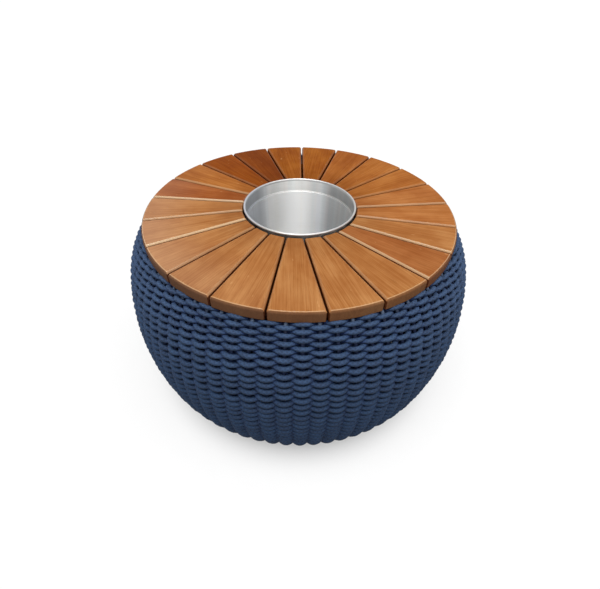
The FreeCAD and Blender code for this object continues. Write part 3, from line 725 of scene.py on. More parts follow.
@dataclass(frozen=True)
class BucketFinish(SteelFinish):
    """Brushed steel with painted reflections: the broad soft bands of a spun bucket, and painted shade
    on its sides.

    Levels come in pairs: at the two sides, and at the front and back.

    Attributes:
        body: Painted brightness left on the body.
        collar: Painted brightness left on the collar above the ledge.
        collar_from: Heights where the collar begins and is full.
        ledge: Painted brightness left on the ledge.
        ledge_tilt: Upward tilts where the ledge begins and is full.
        lit: Direction of the part of the wall given brighter painted reflections.
        lit_span: How near to that direction the brighter part begins and is full, from 0 to 1.
        ledge_span: The same on the ledge.
        rim: Painted brightness left on the rolled rim.
        rim_from: Heights where the rim begins and is full.
        bands: Soft bands of painted reflection round the wall, per radian.
        painted_band_levels: Their least and most brightness.
        painted_tint_waves: Soft bands of painted reflection colour round the wall, per radian.
        painted_tint_band: Noise values where a cooler and a warmer one is full.
        painted_cool_tint: Tint of the cooler painted bands.
        painted_warm_tint: Tint of the warmer painted bands.
        shaded: Painted shade tint of the left side.
        shaded_span: Direction along X, from 1 to -1, where that tint begins and is full.
    """

    body: Span = (0.78, 1.26)
    collar: Span = (0.53, 1.07)
    collar_from: Span = (0.377, 0.380)
    ledge: Span = (0.56, 0.40)
    ledge_tilt: Span = (0.35, 0.9)
    lit: float = math.radians(98.0)
    lit_span: Span = (0.64, 0.88)
    ledge_span: Span = (0.5, 0.95)
    rim: float = 0.70
    rim_from: Span = (0.399, 0.401)
    bands: float = 5
    painted_band_levels: Span = (0.93, 1.05)
    painted_tint_waves: float = 6
    painted_tint_band: Span = (0.38, 0.62)
    painted_cool_tint: Color = (0.985, 1.0, 1.005)
    painted_warm_tint: Color = (1.015, 0.992, 0.985)
    shaded: Color = (0.95, 0.985, 1.07)
    shaded_span: Span = (-0.50, -0.95)

    def make(self, name: str) -> bpy.types.Material:
        """Build the material.

        Args:
            name: Name of the material.

        Returns:
            The material.
        """
        graph = Graph(super().make(name))
        where = graph.add("TexCoord").outputs
        parts = graph.split(where["Object"])
        turn = graph.math("ARCTAN2", parts[1], parts[0])
        around = graph.add("CombineXYZ", {0: turn}).outputs[0]
        # Painted reflections and shade: brighter back wall, darker sides, dimmer ledge and rim.
        level = self.level(graph, parts[2], graph.split(where["Normal"])[2], turn, around)
        # Painted reflection tints in bands round the wall, and a painted shade tint on the left side.
        hue = graph.ramp(graph.noise(around, (self.painted_tint_waves, 1, 1), detail=1), *self.painted_tint_band)
        shade = graph.ramp(graph.math("COSINE", turn), *self.shaded_span)
        hue = graph.mix(shade, graph.mix(hue, self.painted_cool_tint, self.painted_warm_tint), self.shaded)
        metal = graph.surface.inputs["Base Color"].links[0].from_socket
        graph.set(Base_Color=graph.tint(metal, graph.tint(graph.grey(level), hue)))
        return graph.owner

    def level(self, graph: Graph, height: Socket, upward: Socket, turn: Socket,
              around: Socket) -> Socket:
        """Painted brightness of the reflections on the wall, the ledge and the rim.

        Args:
            graph: The material's graph.
            height: Height on the bucket.
            upward: Upward tilt of the surface.
            turn: Direction from the bucket's axis.
            around: The same direction as a place.

        Returns:
            The brightness.
        """
        lit = graph.math("ABSOLUTE", graph.math("COSINE", graph.math("SUBTRACT", turn, self.lit)))
        flank, back = (graph.ramp(height, *self.collar_from, below, above)
                       for below, above in zip(self.body, self.collar))
        bands = graph.spread(graph.noise(around, (self.bands, 1, 1)), *self.painted_band_levels)
        wall = graph.times(graph.ramp(lit, *self.lit_span, flank, back), bands)
        step = graph.ramp(lit, *self.ledge_span, *self.ledge)
        on_ledge = graph.ramp(upward, *self.ledge_tilt)
        wall = graph.math("MULTIPLY_ADD", on_ledge, graph.math("SUBTRACT", step, wall), wall)
        on_rim = graph.ramp(height, *self.rim_from)
        off_rim = graph.math("SUBTRACT", 1.0, on_rim)
        return graph.math("ADD", graph.times(wall, off_rim), graph.times(on_rim, self.rim))


@dataclass(frozen=True)
class CoatFinish:
    """Powder coat on metal, or moulded plastic, with a fine skin.

    Attributes:
        low: Darker colour of the skin.
        high: Lighter colour of the skin.
        roughness: Middle of its roughness.
        skin: Depth of the fine relief.
        skin_share: Share of the relief that shows.
        peel_waves: Fine relief, per metre.
        cloud_waves: Broad clouds, per metre.
        cloud_share: How far they set the colour, where the fine relief does the rest.
        spread: Least and most roughness against the middle.
    """

    low: Color
    high: Color
    roughness: float = 0.46
    skin: float = 0.00005
    skin_share: float = 0.6
    peel_waves: Triple = (900, 900, 900)
    cloud_waves: Triple = (25, 25, 25)
    cloud_share: float = 0.6
    spread: Span = (-0.05, 0.06)

    def make(self, name: str) -> bpy.types.Material:
        """Build the material.

        Args:
            name: Name of the material.

        Returns:
            The material.
        """
        graph = Graph.named(name)
        spot = graph.add("TexCoord").outputs["Object"]
        peel = graph.noise(spot, self.peel_waves, detail=1)
        cloud = graph.spread(graph.noise(spot, self.cloud_waves))
        share = graph.total(0.0, (cloud, self.cloud_share), (peel, 1.0 - self.cloud_share))
        least, most = (self.roughness + step for step in self.spread)
        graph.set(Base_Color=graph.mix(share, self.low, self.high),
                  Roughness=graph.ramp(cloud, 0.0, 1.0, least, most))
        graph.bump(peel, self.skin, self.skin_share)
        return graph.owner


@dataclass(frozen=True)
class RodFinish(CoatFinish):
    """Powder coat of the rods, with painted light on their tops where they show above the first
    courses.

    Attributes:
        painted_lit_top: Colour of the painted light on the tops.
        painted_lit_top_from: Heights where that painted light begins and is complete.
    """

    painted_lit_top: Color = linear(96, 112, 138)
    painted_lit_top_from: Span = (0.366, 0.374)

    def make(self, name: str) -> bpy.types.Material:
        """Build the material.

        Args:
            name: Name of the material.

        Returns:
            The material.
        """
        graph = Graph(super().make(name))
        height = graph.split(graph.add("TexCoord").outputs["Object"])[2]
        coat = graph.surface.inputs["Base Color"].links[0].from_socket
        # Painted light: the rods' tops are lighter above the first courses.
        graph.set(Base_Color=graph.mix(graph.ramp(height, *self.painted_lit_top_from), coat, self.painted_lit_top))
        return graph.owner


def dress(piece: bpy.types.Object, material: bpy.types.Material) -> None:
    """Give a piece one material."""
    piece.data.materials.clear()
    piece.data.materials.append(material)


def mesh_piece(name: str, points: Sequence, faces: Sequence, smooth: bool = True) -> bpy.types.Object:
    """Make an object from points and faces.

    Args:
        name: Name of the piece.
        points: Its points, in metres.
        faces: The point numbers of each face.
        smooth: Whether its faces are shaded smooth.

    Returns:
        The object, already in the scene.
    """
    mesh = bpy.data.meshes.new(name)
    mesh.from_pydata(points, [], faces)
    mesh.polygons.foreach_set("use_smooth", np.full(len(mesh.polygons), smooth))
    mesh.update()
    piece = bpy.data.objects.new(name, mesh)
    bpy.context.scene.collection.objects.link(piece)
    return piece


def ring_faces(rings: int, sides: int) -> list[list[int]]:
    """Four-sided faces between rings of points, each ring closed on itself.

    Args:
        rings: Number of rings.
        sides: Points in each ring.

    Returns:
        Four point numbers for each face.
    """
    ring = np.arange(rings - 1)[:, None] * sides
    side = np.arange(sides)[None, :]
    following = (side + 1) % sides
    corners = [ring + side, ring + following, ring + sides + following, ring + sides + side]
    return np.stack(corners, axis=2).reshape(-1, 4).tolist()


@dataclass
class BodyCurve:
    """The upright outline of the body: three tangent arcs, read by distance down from the wood.

    Attributes:
        top_radius: Outside of the weave at the wood.
        top_height: Underside of the wood.
        belly_radius: Outside of the weave at its widest.
        belly_arc: Upright radius of the middle arc.
        arc_high: Upper end of the middle arc.
        arc_low: Lower end of the middle arc.
        tuck: Lowest course inside the lower end of the middle arc.
        foot_height: Height of the lowest course.
        arcs: Centre, radius, first and last angle of each arc, worked out from the sizes above.
    """

    top_radius: float = 0.305
    top_height: float = 0.380
    belly_radius: float = 0.355
    belly_arc: float = 0.420
    arc_high: float = 0.315
    arc_low: float = 0.095
    tuck: float = 0.0568
    foot_height: float = 0.010
    arcs: list[tuple[float, float, float, float, float]] = field(default_factory=list)

    def __post_init__(self) -> None:
        """Work out each arc's centre, radius and two angles."""
        half = math.asin((self.arc_high - self.arc_low) / (2 * self.belly_arc))
        middle = (self.arc_high + self.arc_low) / 2
        inner = self.belly_radius - self.belly_arc
        end = inner + self.belly_arc * math.cos(half)
        high = self.shoulder(self.top_radius - end, self.top_height - self.arc_high, half)
        low = self.shoulder(-self.tuck, self.arc_low - self.foot_height, half)
        high_centre = (end - high * math.cos(half), self.arc_high - high * math.sin(half))
        low_centre = (end - low * math.cos(half), self.arc_low + low * math.sin(half))
        top = math.asin((self.top_height - high_centre[1]) / high)
        foot = math.asin((self.foot_height - low_centre[1]) / low)
        self.arcs = [(*high_centre, high, top, half), (inner, middle, self.belly_arc, half, -half),
                     (*low_centre, low, -half, foot)]

    @staticmethod
    def shoulder(out: float, up: float, half: float) -> float:
        """Radius of an arc that leaves the middle arc's end smoothly and reaches a point.

        Args:
            out: How far out the point is from that end.
            up: How far along the height it is, as a plus number.
            half: Half of the middle arc's angle.

        Returns:
            The radius.
        """
        return -(out * out + up * up) / (2 * (out * math.cos(half) + up * math.sin(half)))

    def read(self, distance: np.ndarray) -> tuple[np.ndarray, np.ndarray]:
        """Points of the side and the way it faces there.

        Args:
            distance: Distances down from the wood.

        Returns:
            Radius and height of each point, and the outward direction in the same two values.
        """
        angle = np.zeros_like(distance)
        centre = np.zeros((len(distance), 2))
        reach = np.zeros_like(distance)
        run = 0.0
        for number, (x, z, radius, start, stop) in enumerate(self.arcs):
            here = distance >= run if number else np.ones(len(distance), bool)
            angle[here] = start - (distance[here] - run) / radius
            centre[here] = (x, z)
            reach[here] = radius
            run += radius * (start - stop)
        out = np.stack([np.cos(angle), np.sin(angle)], axis=1)
        return centre + reach[:, None] * out, out


@dataclass
class WovenBody:
    """One long rope woven in a rising ring round the upright rods, in front of one and behind the next.

    Attributes:
        curve: Side of the body that the rope follows.
        stakes: Number of rods.
        first_stake: Direction of the first rod.
        stake_depth: Rod centre behind the outside of the weave.
        swing: How far the rope's middle passes in front of or behind the rod's.
        fullness: How much longer than a plain wave the rope stays in front of or behind a rod.
        start_turn: Turn where the rope starts, counted from the first rod.
        end_turn: Turn where it stops.
        first_course: Distance down the side where the first course passes the first rod.
        start_pitch: Distance between courses in the turn before that.
        pitches: Distance between courses near the wood, and below that.
        coarse_turn: Turn where the second pitch takes over.
        pitch_steps: Steps over which a change of pitch is spread across one turn.
        loose_turns: Turns over which the longer spans of the first courses become the usual ones.
        places: Places of the rope against the rods, from behind to in front.
        half_height: Half of the rope's height at those places, as a share of the pitch.
        half_thick: Half of its thickness there.
        least_pitch: Least pitch that its height is taken from.
        wander: How far neighbouring courses stray together.
        wander_waves: Number of waves that they stray in.
        wander_lobes: Least number of lobes of a wave round the table, and one more than the most.
        wander_length: Shortest and longest wave down the side.
        wander_seed: Start of that random draw.
        calm: Distances down the side where straying begins and is full.
        calm_share: Share of it that is left at the wood.
        jitter: How far one course strays alone.
        jitter_seed: Start of that random draw.
        size_spread: How far the rope's size changes along it, as a share.
        size_seed: Start of that random draw.
        samples: Rings of points from rod to rod.
        sides: Points round the rope.
        bands: Pieces that the rope is divided into.
    """

    curve: BodyCurve = field(default_factory=BodyCurve)
    stakes: int = 75
    first_stake: float = math.radians(-88.25)
    stake_depth: float = 0.0115
    swing: float = 0.0072
    fullness: float = 0.15
    start_turn: float = -0.505
    end_turn: float = 54.495
    first_course: float = -0.0011
    start_pitch: float = 0.0002
    pitches: Span = (0.0064, 0.00748)
    coarse_turn: float = 8.0
    pitch_steps: int = 9
    loose_turns: Span = (1.2, 2.4)
    places: tuple[float, ...] = (-1.0, -0.45, 0.0, 0.45, 1.0)
    half_height: tuple[float, ...] = (1.00, 0.88, 0.46, 0.52, 0.60)
    half_thick: tuple[float, ...] = (0.0042, 0.0046, 0.0049, 0.0046, 0.0043)
    least_pitch: float = 0.0056
    wander: float = 0.0012
    wander_waves: int = 14
    wander_lobes: tuple[int, int] = (1, 10)
    wander_length: Span = (0.045, 0.13)
    wander_seed: int = 7
    calm: Span = (0.02, 0.06)
    calm_share: float = 0.15
    jitter: float = 0.00025
    jitter_seed: int = 11
    size_spread: float = 0.045
    size_seed: int = 23
    samples: int = 10
    sides: int = 10
    quick: int = 6
    bands: int = 7

    def course(self, turn: np.ndarray) -> np.ndarray:
        """Distance down the side after a number of turns.

        Args:
            turn: Turns of the rope, 0 where the first course passes the first rod.

        Returns:
            The distances.
        """
        fine, coarse = self.pitches
        first, last = self.first_course, self.end_turn + 2
        change = first + fine * self.coarse_turn
        knots = (-1.0, 0.0, self.coarse_turn, last)
        levels = (first - self.start_pitch, first, change, change + coarse * (last - self.coarse_turn))
        spread = np.linspace(-0.5, 0.5, self.pitch_steps)
        return np.mean([np.interp(turn + offset, knots, levels) for offset in spread], axis=0)

    def drift(self, azimuth: np.ndarray, distance: np.ndarray) -> np.ndarray:
        """Hand-made unevenness that neighbouring courses share.

        Args:
            azimuth: Directions round the table.
            distance: Distances down the side.

        Returns:
            Shift of each point down the side, in metres.
        """
        dice = np.random.default_rng(self.wander_seed)
        total = np.zeros_like(azimuth)
        for _ in range(self.wander_waves):
            lobes = dice.integers(*self.wander_lobes)
            wave = dice.uniform(*self.wander_length)
            phase = dice.uniform(0, math.tau, 2)
            total += np.sin(lobes * azimuth + phase[0]) * np.sin(math.tau * distance / wave + phase[1])
        # Each wave is a product of two sines, so a quarter of their number is the sum's mean square.
        total /= math.sqrt(self.wander_waves / 4)
        start, full = self.calm
        return self.wander * total * np.clip((distance - start) / (full - start), self.calm_share, 1.0)

    def strand(self, turn: np.ndarray) -> tuple[np.ndarray, np.ndarray, np.ndarray]:
        """Follow the rope's middle.

        Args:
            turn: Turns of the rope at each sample.

        Returns:
            Points of its middle, the outward direction there, and how far it is in front of the
            rods, from -1 to 1.
        """
        azimuth = self.first_stake + math.tau * turn
        wave = np.cos(math.pi * self.stakes * turn)
        front = (1 + self.fullness) * wave - self.fullness * wave**3
        front += np.interp(turn, self.loose_turns, (1.0, 0.0)) * (np.sin(math.pi / 2 * wave) - front)
        down = self.course(turn)
        side, out = self.curve.read(down + self.drift(azimuth, down))
        place = side + (self.swing * front - self.stake_depth)[:, None] * out
        cosine, sine = np.cos(azimuth), np.sin(azimuth)
        points = np.stack([place[:, 0] * cosine, place[:, 0] * sine, place[:, 1]], axis=1)
        facing = np.stack([out[:, 0] * cosine, out[:, 0] * sine, out[:, 1]], axis=1)
        return points, facing, front

    def uneven(self, count: int, seed: int) -> np.ndarray:
        """Small smooth random numbers along the rope.

        Args:
            count: How many samples.
            seed: Start of the random draw.

        Returns:
            The numbers, from -1 to 1.
        """
        # One number from rod to rod, and a few to spare at the end.
        knots = count // self.samples + 3
        levels = np.random.default_rng(seed).uniform(-1, 1, knots)
        return np.interp(np.arange(count) / self.samples, np.arange(knots), levels)

    def rings(self, turn: np.ndarray, sides: int) -> tuple[np.ndarray, np.ndarray, np.ndarray]:
        """Rings of points round the rope.

        Args:
            turn: Turns of the rope at each ring.
            sides: Points in each ring.

        Returns:
            The points of each ring, the length of rope up to it, and how far it is in front of the
            rods.
        """
        count = len(turn)
        points, facing, front = self.strand(turn)
        along = np.gradient(points, axis=0)
        along /= np.linalg.norm(along, axis=1)[:, None]
        facing -= np.sum(facing * along, axis=1)[:, None] * along
        facing /= np.linalg.norm(facing, axis=1)[:, None]
        up = np.cross(facing, along)
        points += up * (self.jitter * self.uneven(count, self.jitter_seed))[:, None]
        pitch = np.maximum(self.course(turn + 0.5) - self.course(turn - 0.5), self.least_pitch)
        size = 1 + self.size_spread * self.uneven(count, self.size_seed)
        tall = (size * pitch * np.interp(front, self.places, self.half_height))[:, None]
        thick = (size * np.interp(front, self.places, self.half_thick))[:, None]
        angle = np.linspace(0, math.tau, sides, endpoint=False)
        rings = (points[:, None, :]
                 + (tall * np.sin(angle))[:, :, None] * up[:, None, :]
                 + (thick * np.cos(angle))[:, :, None] * facing[:, None, :])
        steps = np.linalg.norm(np.diff(points, axis=0), axis=1)
        return rings, np.concatenate([[0.0], np.cumsum(steps)]), front

    def build(self, finish: bpy.types.Material) -> list[bpy.types.Object]:
        """Make the rope in bands of courses.

        Args:
            finish: Material of the rope.

        Returns:
            One piece for each band, from the wood down.
        """
        samples, sides = ((self.samples, self.sides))
        count = int(round((self.end_turn - self.start_turn) * self.stakes * samples)) + 1
        rings, run, front = self.rings(np.linspace(self.start_turn, self.end_turn, count), sides)
        edges = np.linspace(0, count - 1, self.bands + 1).astype(int)
        pieces = []
        for number, (start, stop) in enumerate(zip(edges[:-1], edges[1:]), start=1):
            stretch = slice(start, stop + 1)
            piece = self.band(f"rope_band_{number}", rings[stretch], run[stretch], front[stretch])
            dress(piece, finish)
            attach(piece, "table")
            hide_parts("weave_outside", "weave_inside")
            pieces.append(piece)
        return pieces

    @staticmethod
    def band(name: str, rings: np.ndarray, run: np.ndarray, front: np.ndarray) -> bpy.types.Object:
        """Make one stretch of rope.

        Args:
            name: Name of the piece.
            rings: Points of each ring round the rope.
            run: Length of rope up to each ring.
            front: How far each ring is in front of the rods.

        Returns:
            The piece, with its braid measured along and round the rope.
        """
        count, sides = rings.shape[:2]
        piece = mesh_piece(name, rings.reshape(-1, 3).tolist(), ring_faces(count, sides))
        shape = (count - 1, sides)
        around = np.broadcast_to(np.arange(sides), shape)
        here, ahead = (np.broadcast_to(part[:, None], shape) for part in (run[:-1], run[1:]))
        corners = np.stack([here, around / sides, here, (around + 1) / sides,
                            ahead, (around + 1) / sides, ahead, around / sides], axis=2)
        layer = piece.data.uv_layers.new(name="braid")
        layer.data.foreach_set("uv", corners.astype(np.float32).ravel())
        dive = piece.data.attributes.new(name="dive", type="FLOAT", domain="POINT")
        dive.data.foreach_set("value", np.repeat(front, sides).astype(np.float32))
        return piece


def rounded(corners: Sequence[Triple], steps: int = 8) -> np.ndarray:
    """Round the corners of an open outline.

    Args:
        corners: Two coordinates and a corner radius for each point.
        steps: Short lines in each rounded corner.

    Returns:
        The outline's points.
    """
    points = []
    for number, (x, z, radius) in enumerate(corners):
        here = np.array([x, z])
        if radius == 0 or number in (0, len(corners) - 1):
            points.append(here)
            continue
        back = np.array(corners[number - 1][:2]) - here
        ahead = np.array(corners[number + 1][:2]) - here
        back /= np.linalg.norm(back)
        ahead /= np.linalg.norm(ahead)
        half = math.acos(float(np.clip(back @ ahead, -1, 1))) / 2
        swing = math.pi - 2 * half
        centre = here + (back + ahead) / np.linalg.norm(back + ahead) * radius / math.sin(half)
        first = here + back * radius / math.tan(half) - centre
        last = here + ahead * radius / math.tan(half) - centre
        for share in np.linspace(0, 1, steps + 1):
            arm = math.sin((1 - share) * swing) * first + math.sin(share * swing) * last
            points.append(centre + arm / math.sin(swing))
    return np.array(points)


@dataclass
class IceBucket:
    """The lift-out bucket, spun from one sheet, with a ledge and a rolled rim.

    Attributes:
        rim_height: Top of the rolled rim.
        rim_radius: Outside of the rolled rim.
        bead: Radius of the rolled rim's section.
        bead_turn: Angles of that section where the roll starts under the rim and ends inside.
        bead_steps: Points of the roll.
        bead_lap: How far below the middle of the roll the inside of the collar begins.
        collar: Outside of the collar above the ledge.
        body: Outside of the body under the ledge.
        base: Outside of the body at its floor, before its corner.
        ledge: Underside of the ledge.
        ledge_round: Radius of the ledge's outer bend. Its inner bend has half of it.
        under: Underside of the floor.
        corner: Outside radius round the floor.
        wall: Thickness of the sheet.
        segments: Points round the bucket.
    """

    rim_height: float = 0.4045
    rim_radius: float = 0.11075
    bead: float = 0.002
    bead_turn: Span = (-2.1, math.pi + 0.35)
    bead_steps: int = 22
    bead_lap: float = 0.0012
    collar: float = 0.10775
    body: float = 0.10445
    base: float = 0.09945
    ledge: float = 0.376
    ledge_round: float = 0.0012
    under: float = 0.2005
    corner: float = 0.014
    wall: float = 0.001
    segments: int = 256

    def outline(self) -> np.ndarray:
        """Draw half of the section.

        Returns:
            Its points, from the middle of the underside round to the middle of the floor.
        """
        wall, soft = self.wall, self.ledge_round
        rim_x, rim_z = self.rim_radius - self.bead, self.rim_height - self.bead
        outside = rounded([(0.0, self.under, 0), (self.base, self.under, self.corner),
                           (self.body, self.ledge, soft / 2), (self.collar, self.ledge, soft),
                           (self.collar, rim_z, 0)])
        swing = np.linspace(*self.bead_turn, self.bead_steps)
        rim = np.stack([rim_x + self.bead * np.cos(swing), rim_z + self.bead * np.sin(swing)], axis=1)
        inside = rounded([(self.collar - wall, rim_z - self.bead_lap, 0),
                          (self.collar - wall, self.ledge + wall, soft / 2),
                          (self.body - wall, self.ledge + wall, soft),
                          (self.base - wall, self.under + wall, self.corner - wall),
                          (0.0, self.under + wall, 0)])
        return np.concatenate([outside[:-1], rim, inside])

    def build(self, finish: bpy.types.Material) -> bpy.types.Object:
        """Turn the section once round.

        Args:
            finish: Material of the bucket.

        Returns:
            The piece.
        """
        outline = self.outline()
        inner = outline[1:-1]
        swing = np.linspace(0, math.tau, self.segments, endpoint=False)
        rings = np.stack([inner[:, None, 0] * np.cos(swing), inner[:, None, 0] * np.sin(swing),
                          np.broadcast_to(inner[:, None, 1], (len(inner), self.segments))], axis=2)
        poles = np.array([[0, 0, outline[0, 1]], [0, 0, outline[-1, 1]]])
        points = np.concatenate([rings.reshape(-1, 3), poles])
        faces = ring_faces(len(inner), self.segments)
        last = (len(inner) - 1) * self.segments
        pole = len(points) - 2
        for number in range(self.segments):
            other = (number + 1) % self.segments
            faces.append([pole, other, number])
            faces.append([pole + 1, last + number, last + other])
        piece = mesh_piece("ice_bucket_sheet", points.tolist(), faces)
        dress(piece, finish)
        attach(piece, "bucket")
        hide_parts("ice_bucket")
        return piece


@dataclass
class SlatTop:
    """The ring of wedge boards.

    Attributes:
        first: Direction of the first board.
        reach: Outside radius of the boards.
        mean_miss: How far the joints pass left of the middle, on the mean.
        swing: How far that distance rises and falls once round the top.
        swing_angle: Direction where it is largest.
        boards: Tone and painted front-edge highlight of each board, from the front one to the right and
            round.
    """

    first: float = math.radians(-90.0)
    reach: float = 0.300
    mean_miss: float = -0.009
    swing: float = 0.008
    swing_angle: float = math.radians(160.0)
    boards: tuple[tuple[Tone, float], ...] = (
        (Tone.PALE, 0.0), (Tone.PALE, 0.1), (Tone.PALE, 0.2), (Tone.REDDISH, 0.8),
        (Tone.PALE, 0.7), (Tone.ORANGE, 0.35), (Tone.ORANGE, 0.45), (Tone.GOLDEN, 0.15),
        (Tone.GOLDEN, 0.05), (Tone.TOFFEE, 0.0), (Tone.MEDIUM, 0.0), (Tone.MEDIUM, 0.0),
        (Tone.DARK, 0.0), (Tone.TAWNY, 0.1), (Tone.GOLDEN, 0.4), (Tone.RUSSET, 1.0),
        (Tone.HONEY, 0.5), (Tone.HONEY, 1.0), (Tone.HONEY, 0.25), (Tone.HONEY, 0.15),
        (Tone.PALE, 0.0),
    )

    def miss(self, azimuth: float) -> float:
        """How far the axis of the board in a direction passes left of the middle of the table."""
        return self.mean_miss + self.swing * math.cos(azimuth - self.swing_angle)

    def build(self, nodes: dict[str, bpy.types.Object]) -> list[bpy.types.Object]:
        """Finish the boards.

        Args:
            nodes: The solid pieces by name.

        Returns:
            The boards.
        """
        done = []
        for number, (tone, painted_front_glint) in enumerate(self.boards):
            name = f"slat_{number + 1:02d}"
            azimuth = self.first + math.tau * number / len(self.boards)
            grain = azimuth - math.asin(self.miss(azimuth) / self.reach)
            dress(nodes[name], BoardFinish(tone, grain, number + 1, painted_front_glint).make(f"varnished_{name}"))
            done.append(nodes[name])
        return done


@dataclass
class MetalFrame:
    """Everything of metal or plastic under the boards and inside the weave.

    Attributes:
        coat: Powder coat of the tubes and rings.
        rods: Powder coat of the rods that the rope is woven on.
        screws: Bright steel of the screws.
        nylon: Plastic of the glides.
        coated: Pieces that take the coat of the tubes and rings.
    """

    coat: CoatFinish = CoatFinish(linear(15, 16, 23), linear(24, 26, 35))
    rods: RodFinish = RodFinish(linear(16, 30, 62), linear(26, 42, 80), 0.6)
    screws: SteelFinish = SteelFinish(linear(196, 196, 194), 0.32, 0.3)
    nylon: CoatFinish = CoatFinish(linear(22, 22, 24), linear(38, 38, 40), 0.55, 0.00012)
    coated: tuple[str, ...] = ("rib", "rail", "top_hoop", "base_hoop", "outer_slat_ring",
                               "inner_slat_ring", "bucket_seat_ring")

    def build(self, nodes: dict[str, bpy.types.Object]) -> list[bpy.types.Object]:
        """Finish the solid pieces.

        Args:
            nodes: The solid pieces by name.

        Returns:
            The finished pieces.
        """
        coat = self.coat.make("navy_powder_coat")
        rods = self.rods.make("rod_powder_coat")
        screws = self.screws.make("stainless_screws")
        nylon = self.nylon.make("black_nylon")
        finishes = dict.fromkeys(self.coated, coat)
        finishes.update(stakes=rods, glide=nylon, outer_slat_screws=screws, inner_slat_screws=screws)
        done = []
        for name, node in nodes.items():
            finish = finishes.get(name.rstrip("_0123456789"))
            if finish:
                dress(node, finish)
                done.append(node)
        return done


@dataclass(frozen=True)
class Lamp:
    """One broad distant lamp.

    Attributes:
        name: Name of the lamp.
        azimuth: Direction it stands in, in degrees from +X.
        height: Its angle above the floor, in degrees.
        strength: Its light.
        spread: How broad it is, in degrees.
    """

    name: str
    azimuth: float
    height: float
    strength: float
    spread: float

    def build(self) -> None:
        """Hang the lamp."""
        data = bpy.data.lights.new(self.name, "SUN")
        data.energy = self.strength
        data.angle = math.radians(self.spread)
        lamp = bpy.data.objects.new(self.name, data)
        # Unturned it shines straight down, which is a height of 90 degrees.
        lamp.rotation_euler = (math.radians(90 - self.height), 0, math.radians(90 + self.azimuth))
        bpy.context.scene.collection.objects.link(lamp)


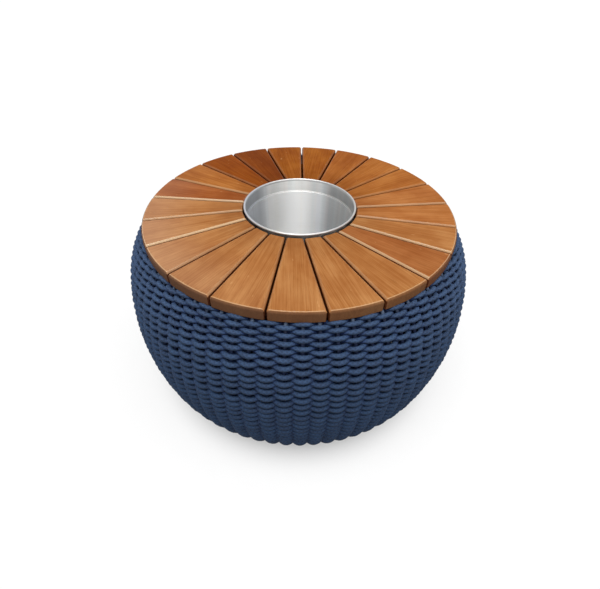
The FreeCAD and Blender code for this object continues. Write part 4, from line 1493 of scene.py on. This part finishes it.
@dataclass
class Studio:
    """Floor, soft light and the camera of the photograph.

    Attributes:
        place: Where the camera stands.
        pitch: How far it looks down.
        roll: How far it is turned about its own axis.
        focal: Distance of the picture, in pixels of the photograph.
        width: Pixels across the photograph.
        sensor: Width of the camera's sensor, in millimetres.
        near: Nearest distance that the camera sees.
        sky: Strength of the even light from all round.
        white: Strength of the white that is seen and mirrored.
        floor_reach: Half of the floor's side.
        floor_drop: How far the floor lies under the feet.
        floor_colors: Darker and lighter colour of the floor.
        floor_waves: Its fine mottle, per metre.
        glow: Strength of the white that the camera sees on the floor away from the object.
        painted_shadow_reach: Distances from the middle where that white begins and is full; nearer in,
            the floor is left darker, a painted shadow.
        lamps: The lamps.
    """

    place: Triple = (0.004005, -0.676416, 0.778193)
    pitch: float = 0.739577
    roll: float = 0.021368
    focal: float = 381.3
    width: int = 600
    sensor: float = 36.0
    near: float = 0.01
    sky: float = 0.22
    white: float = 1.0
    floor_reach: float = 16.0
    floor_drop: float = 0.0002
    floor_colors: tuple[Color, Color] = ((0.36, 0.36, 0.36), (0.38, 0.38, 0.38))
    floor_waves: Triple = (40, 40, 40)
    glow: float = 0.64
    painted_shadow_reach: Span = (0.20, 0.36)
    lamps: tuple[Lamp, ...] = (Lamp("key_lamp", -122, 75, 1.60, 40),
                               Lamp("fill_lamp", -45, 70, 1.09, 50))

    def camera(self) -> None:
        """Stand the camera where the photograph was taken."""
        data = bpy.data.cameras.new("photo_camera")
        data.sensor_fit = "HORIZONTAL"
        data.sensor_width = self.sensor
        data.lens = self.focal / self.width * self.sensor
        data.clip_start = self.near
        camera = bpy.data.objects.new("photo_camera", data)
        tilt = Matrix.Rotation(math.pi / 2 - self.pitch, 4, "X") @ Matrix.Rotation(self.roll, 4, "Z")
        camera.matrix_world = Matrix.Translation(self.place) @ tilt
        bpy.context.scene.collection.objects.link(camera)
        bpy.context.scene.camera = camera

    def world(self) -> None:
        """Put white behind the object and in its reflections, and an even soft light all round."""
        world = bpy.data.worlds.new("soft_studio")
        bpy.context.scene.world = world
        graph = Graph(world)
        graph.tree.nodes.clear()
        rays = graph.add("LightPath").outputs
        seen = graph.math("MAXIMUM", rays["Is Camera Ray"], rays["Is Glossy Ray"])
        seen = graph.math("MAXIMUM", seen, rays["Is Transmission Ray"])
        level = graph.add("MapRange", {0: seen, 3: self.sky, 4: self.white})
        background = graph.add("Background", {"Color": WHITE, "Strength": level.outputs[0]})
        graph.add("OutputWorld", {"Surface": background.outputs[0]})

    def floor(self) -> None:
        """Lay the pale floor."""
        graph = Graph.named("pale_floor")
        spot = graph.add("TexCoord").outputs["Object"]
        mottle = graph.noise(spot, self.floor_waves)
        graph.set(Base_Color=graph.mix(mottle, *self.floor_colors), Roughness=0.9,
                  Specular_IOR_Level=0.2)
        length = graph.add("VectorMath", {0: spot}, operation="LENGTH").outputs["Value"]
        # Painted shadow: no camera-seen white on the floor near the table, so it stays darker there.
        away = graph.ramp(length, *self.painted_shadow_reach)
        seen = graph.times(graph.add("LightPath").outputs["Is Camera Ray"], away)
        glow = graph.add("Emission", {"Color": WHITE, "Strength": graph.times(seen, self.glow)})
        both = graph.add("AddShader", {0: graph.surface.outputs[0], 1: glow.outputs[0]})
        graph.feed(graph.tree.nodes["Material Output"].inputs["Surface"], both.outputs[0])
        far = self.floor_reach
        corners = [(-far, -far, 0), (far, -far, 0), (far, far, 0), (-far, far, 0)]
        floor = mesh_piece("studio_floor", corners, [(0, 1, 2, 3)], smooth=False)
        floor.location.z = -self.floor_drop
        dress(floor, graph.owner)

    def build(self) -> None:
        """Set up the whole studio."""
        self.camera()
        self.world()
        self.floor()
        for lamp in self.lamps:
            lamp.build()
        bpy.context.scene.view_settings.view_transform = "Standard"


def main() -> None:
    """Build the table round the frame and report each piece."""
    logging.basicConfig(level=logging.INFO, format="%(message)s")
    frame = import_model()
    nodes = frame["nodes"]
    Studio().build()
    groups = {
        "weave": WovenBody().build(RopeFinish().make()),
        "top": SlatTop().build(nodes),
        "frame": MetalFrame().build(nodes),
        "bucket": [IceBucket().build(BucketFinish().make("brushed_bucket_steel"))],
    }
    for group, pieces in groups.items():
        for piece in pieces:
            log.info("%s: %s, %d faces", group, piece.name, len(piece.data.polygons))


if __name__ == "__main__":
    main()
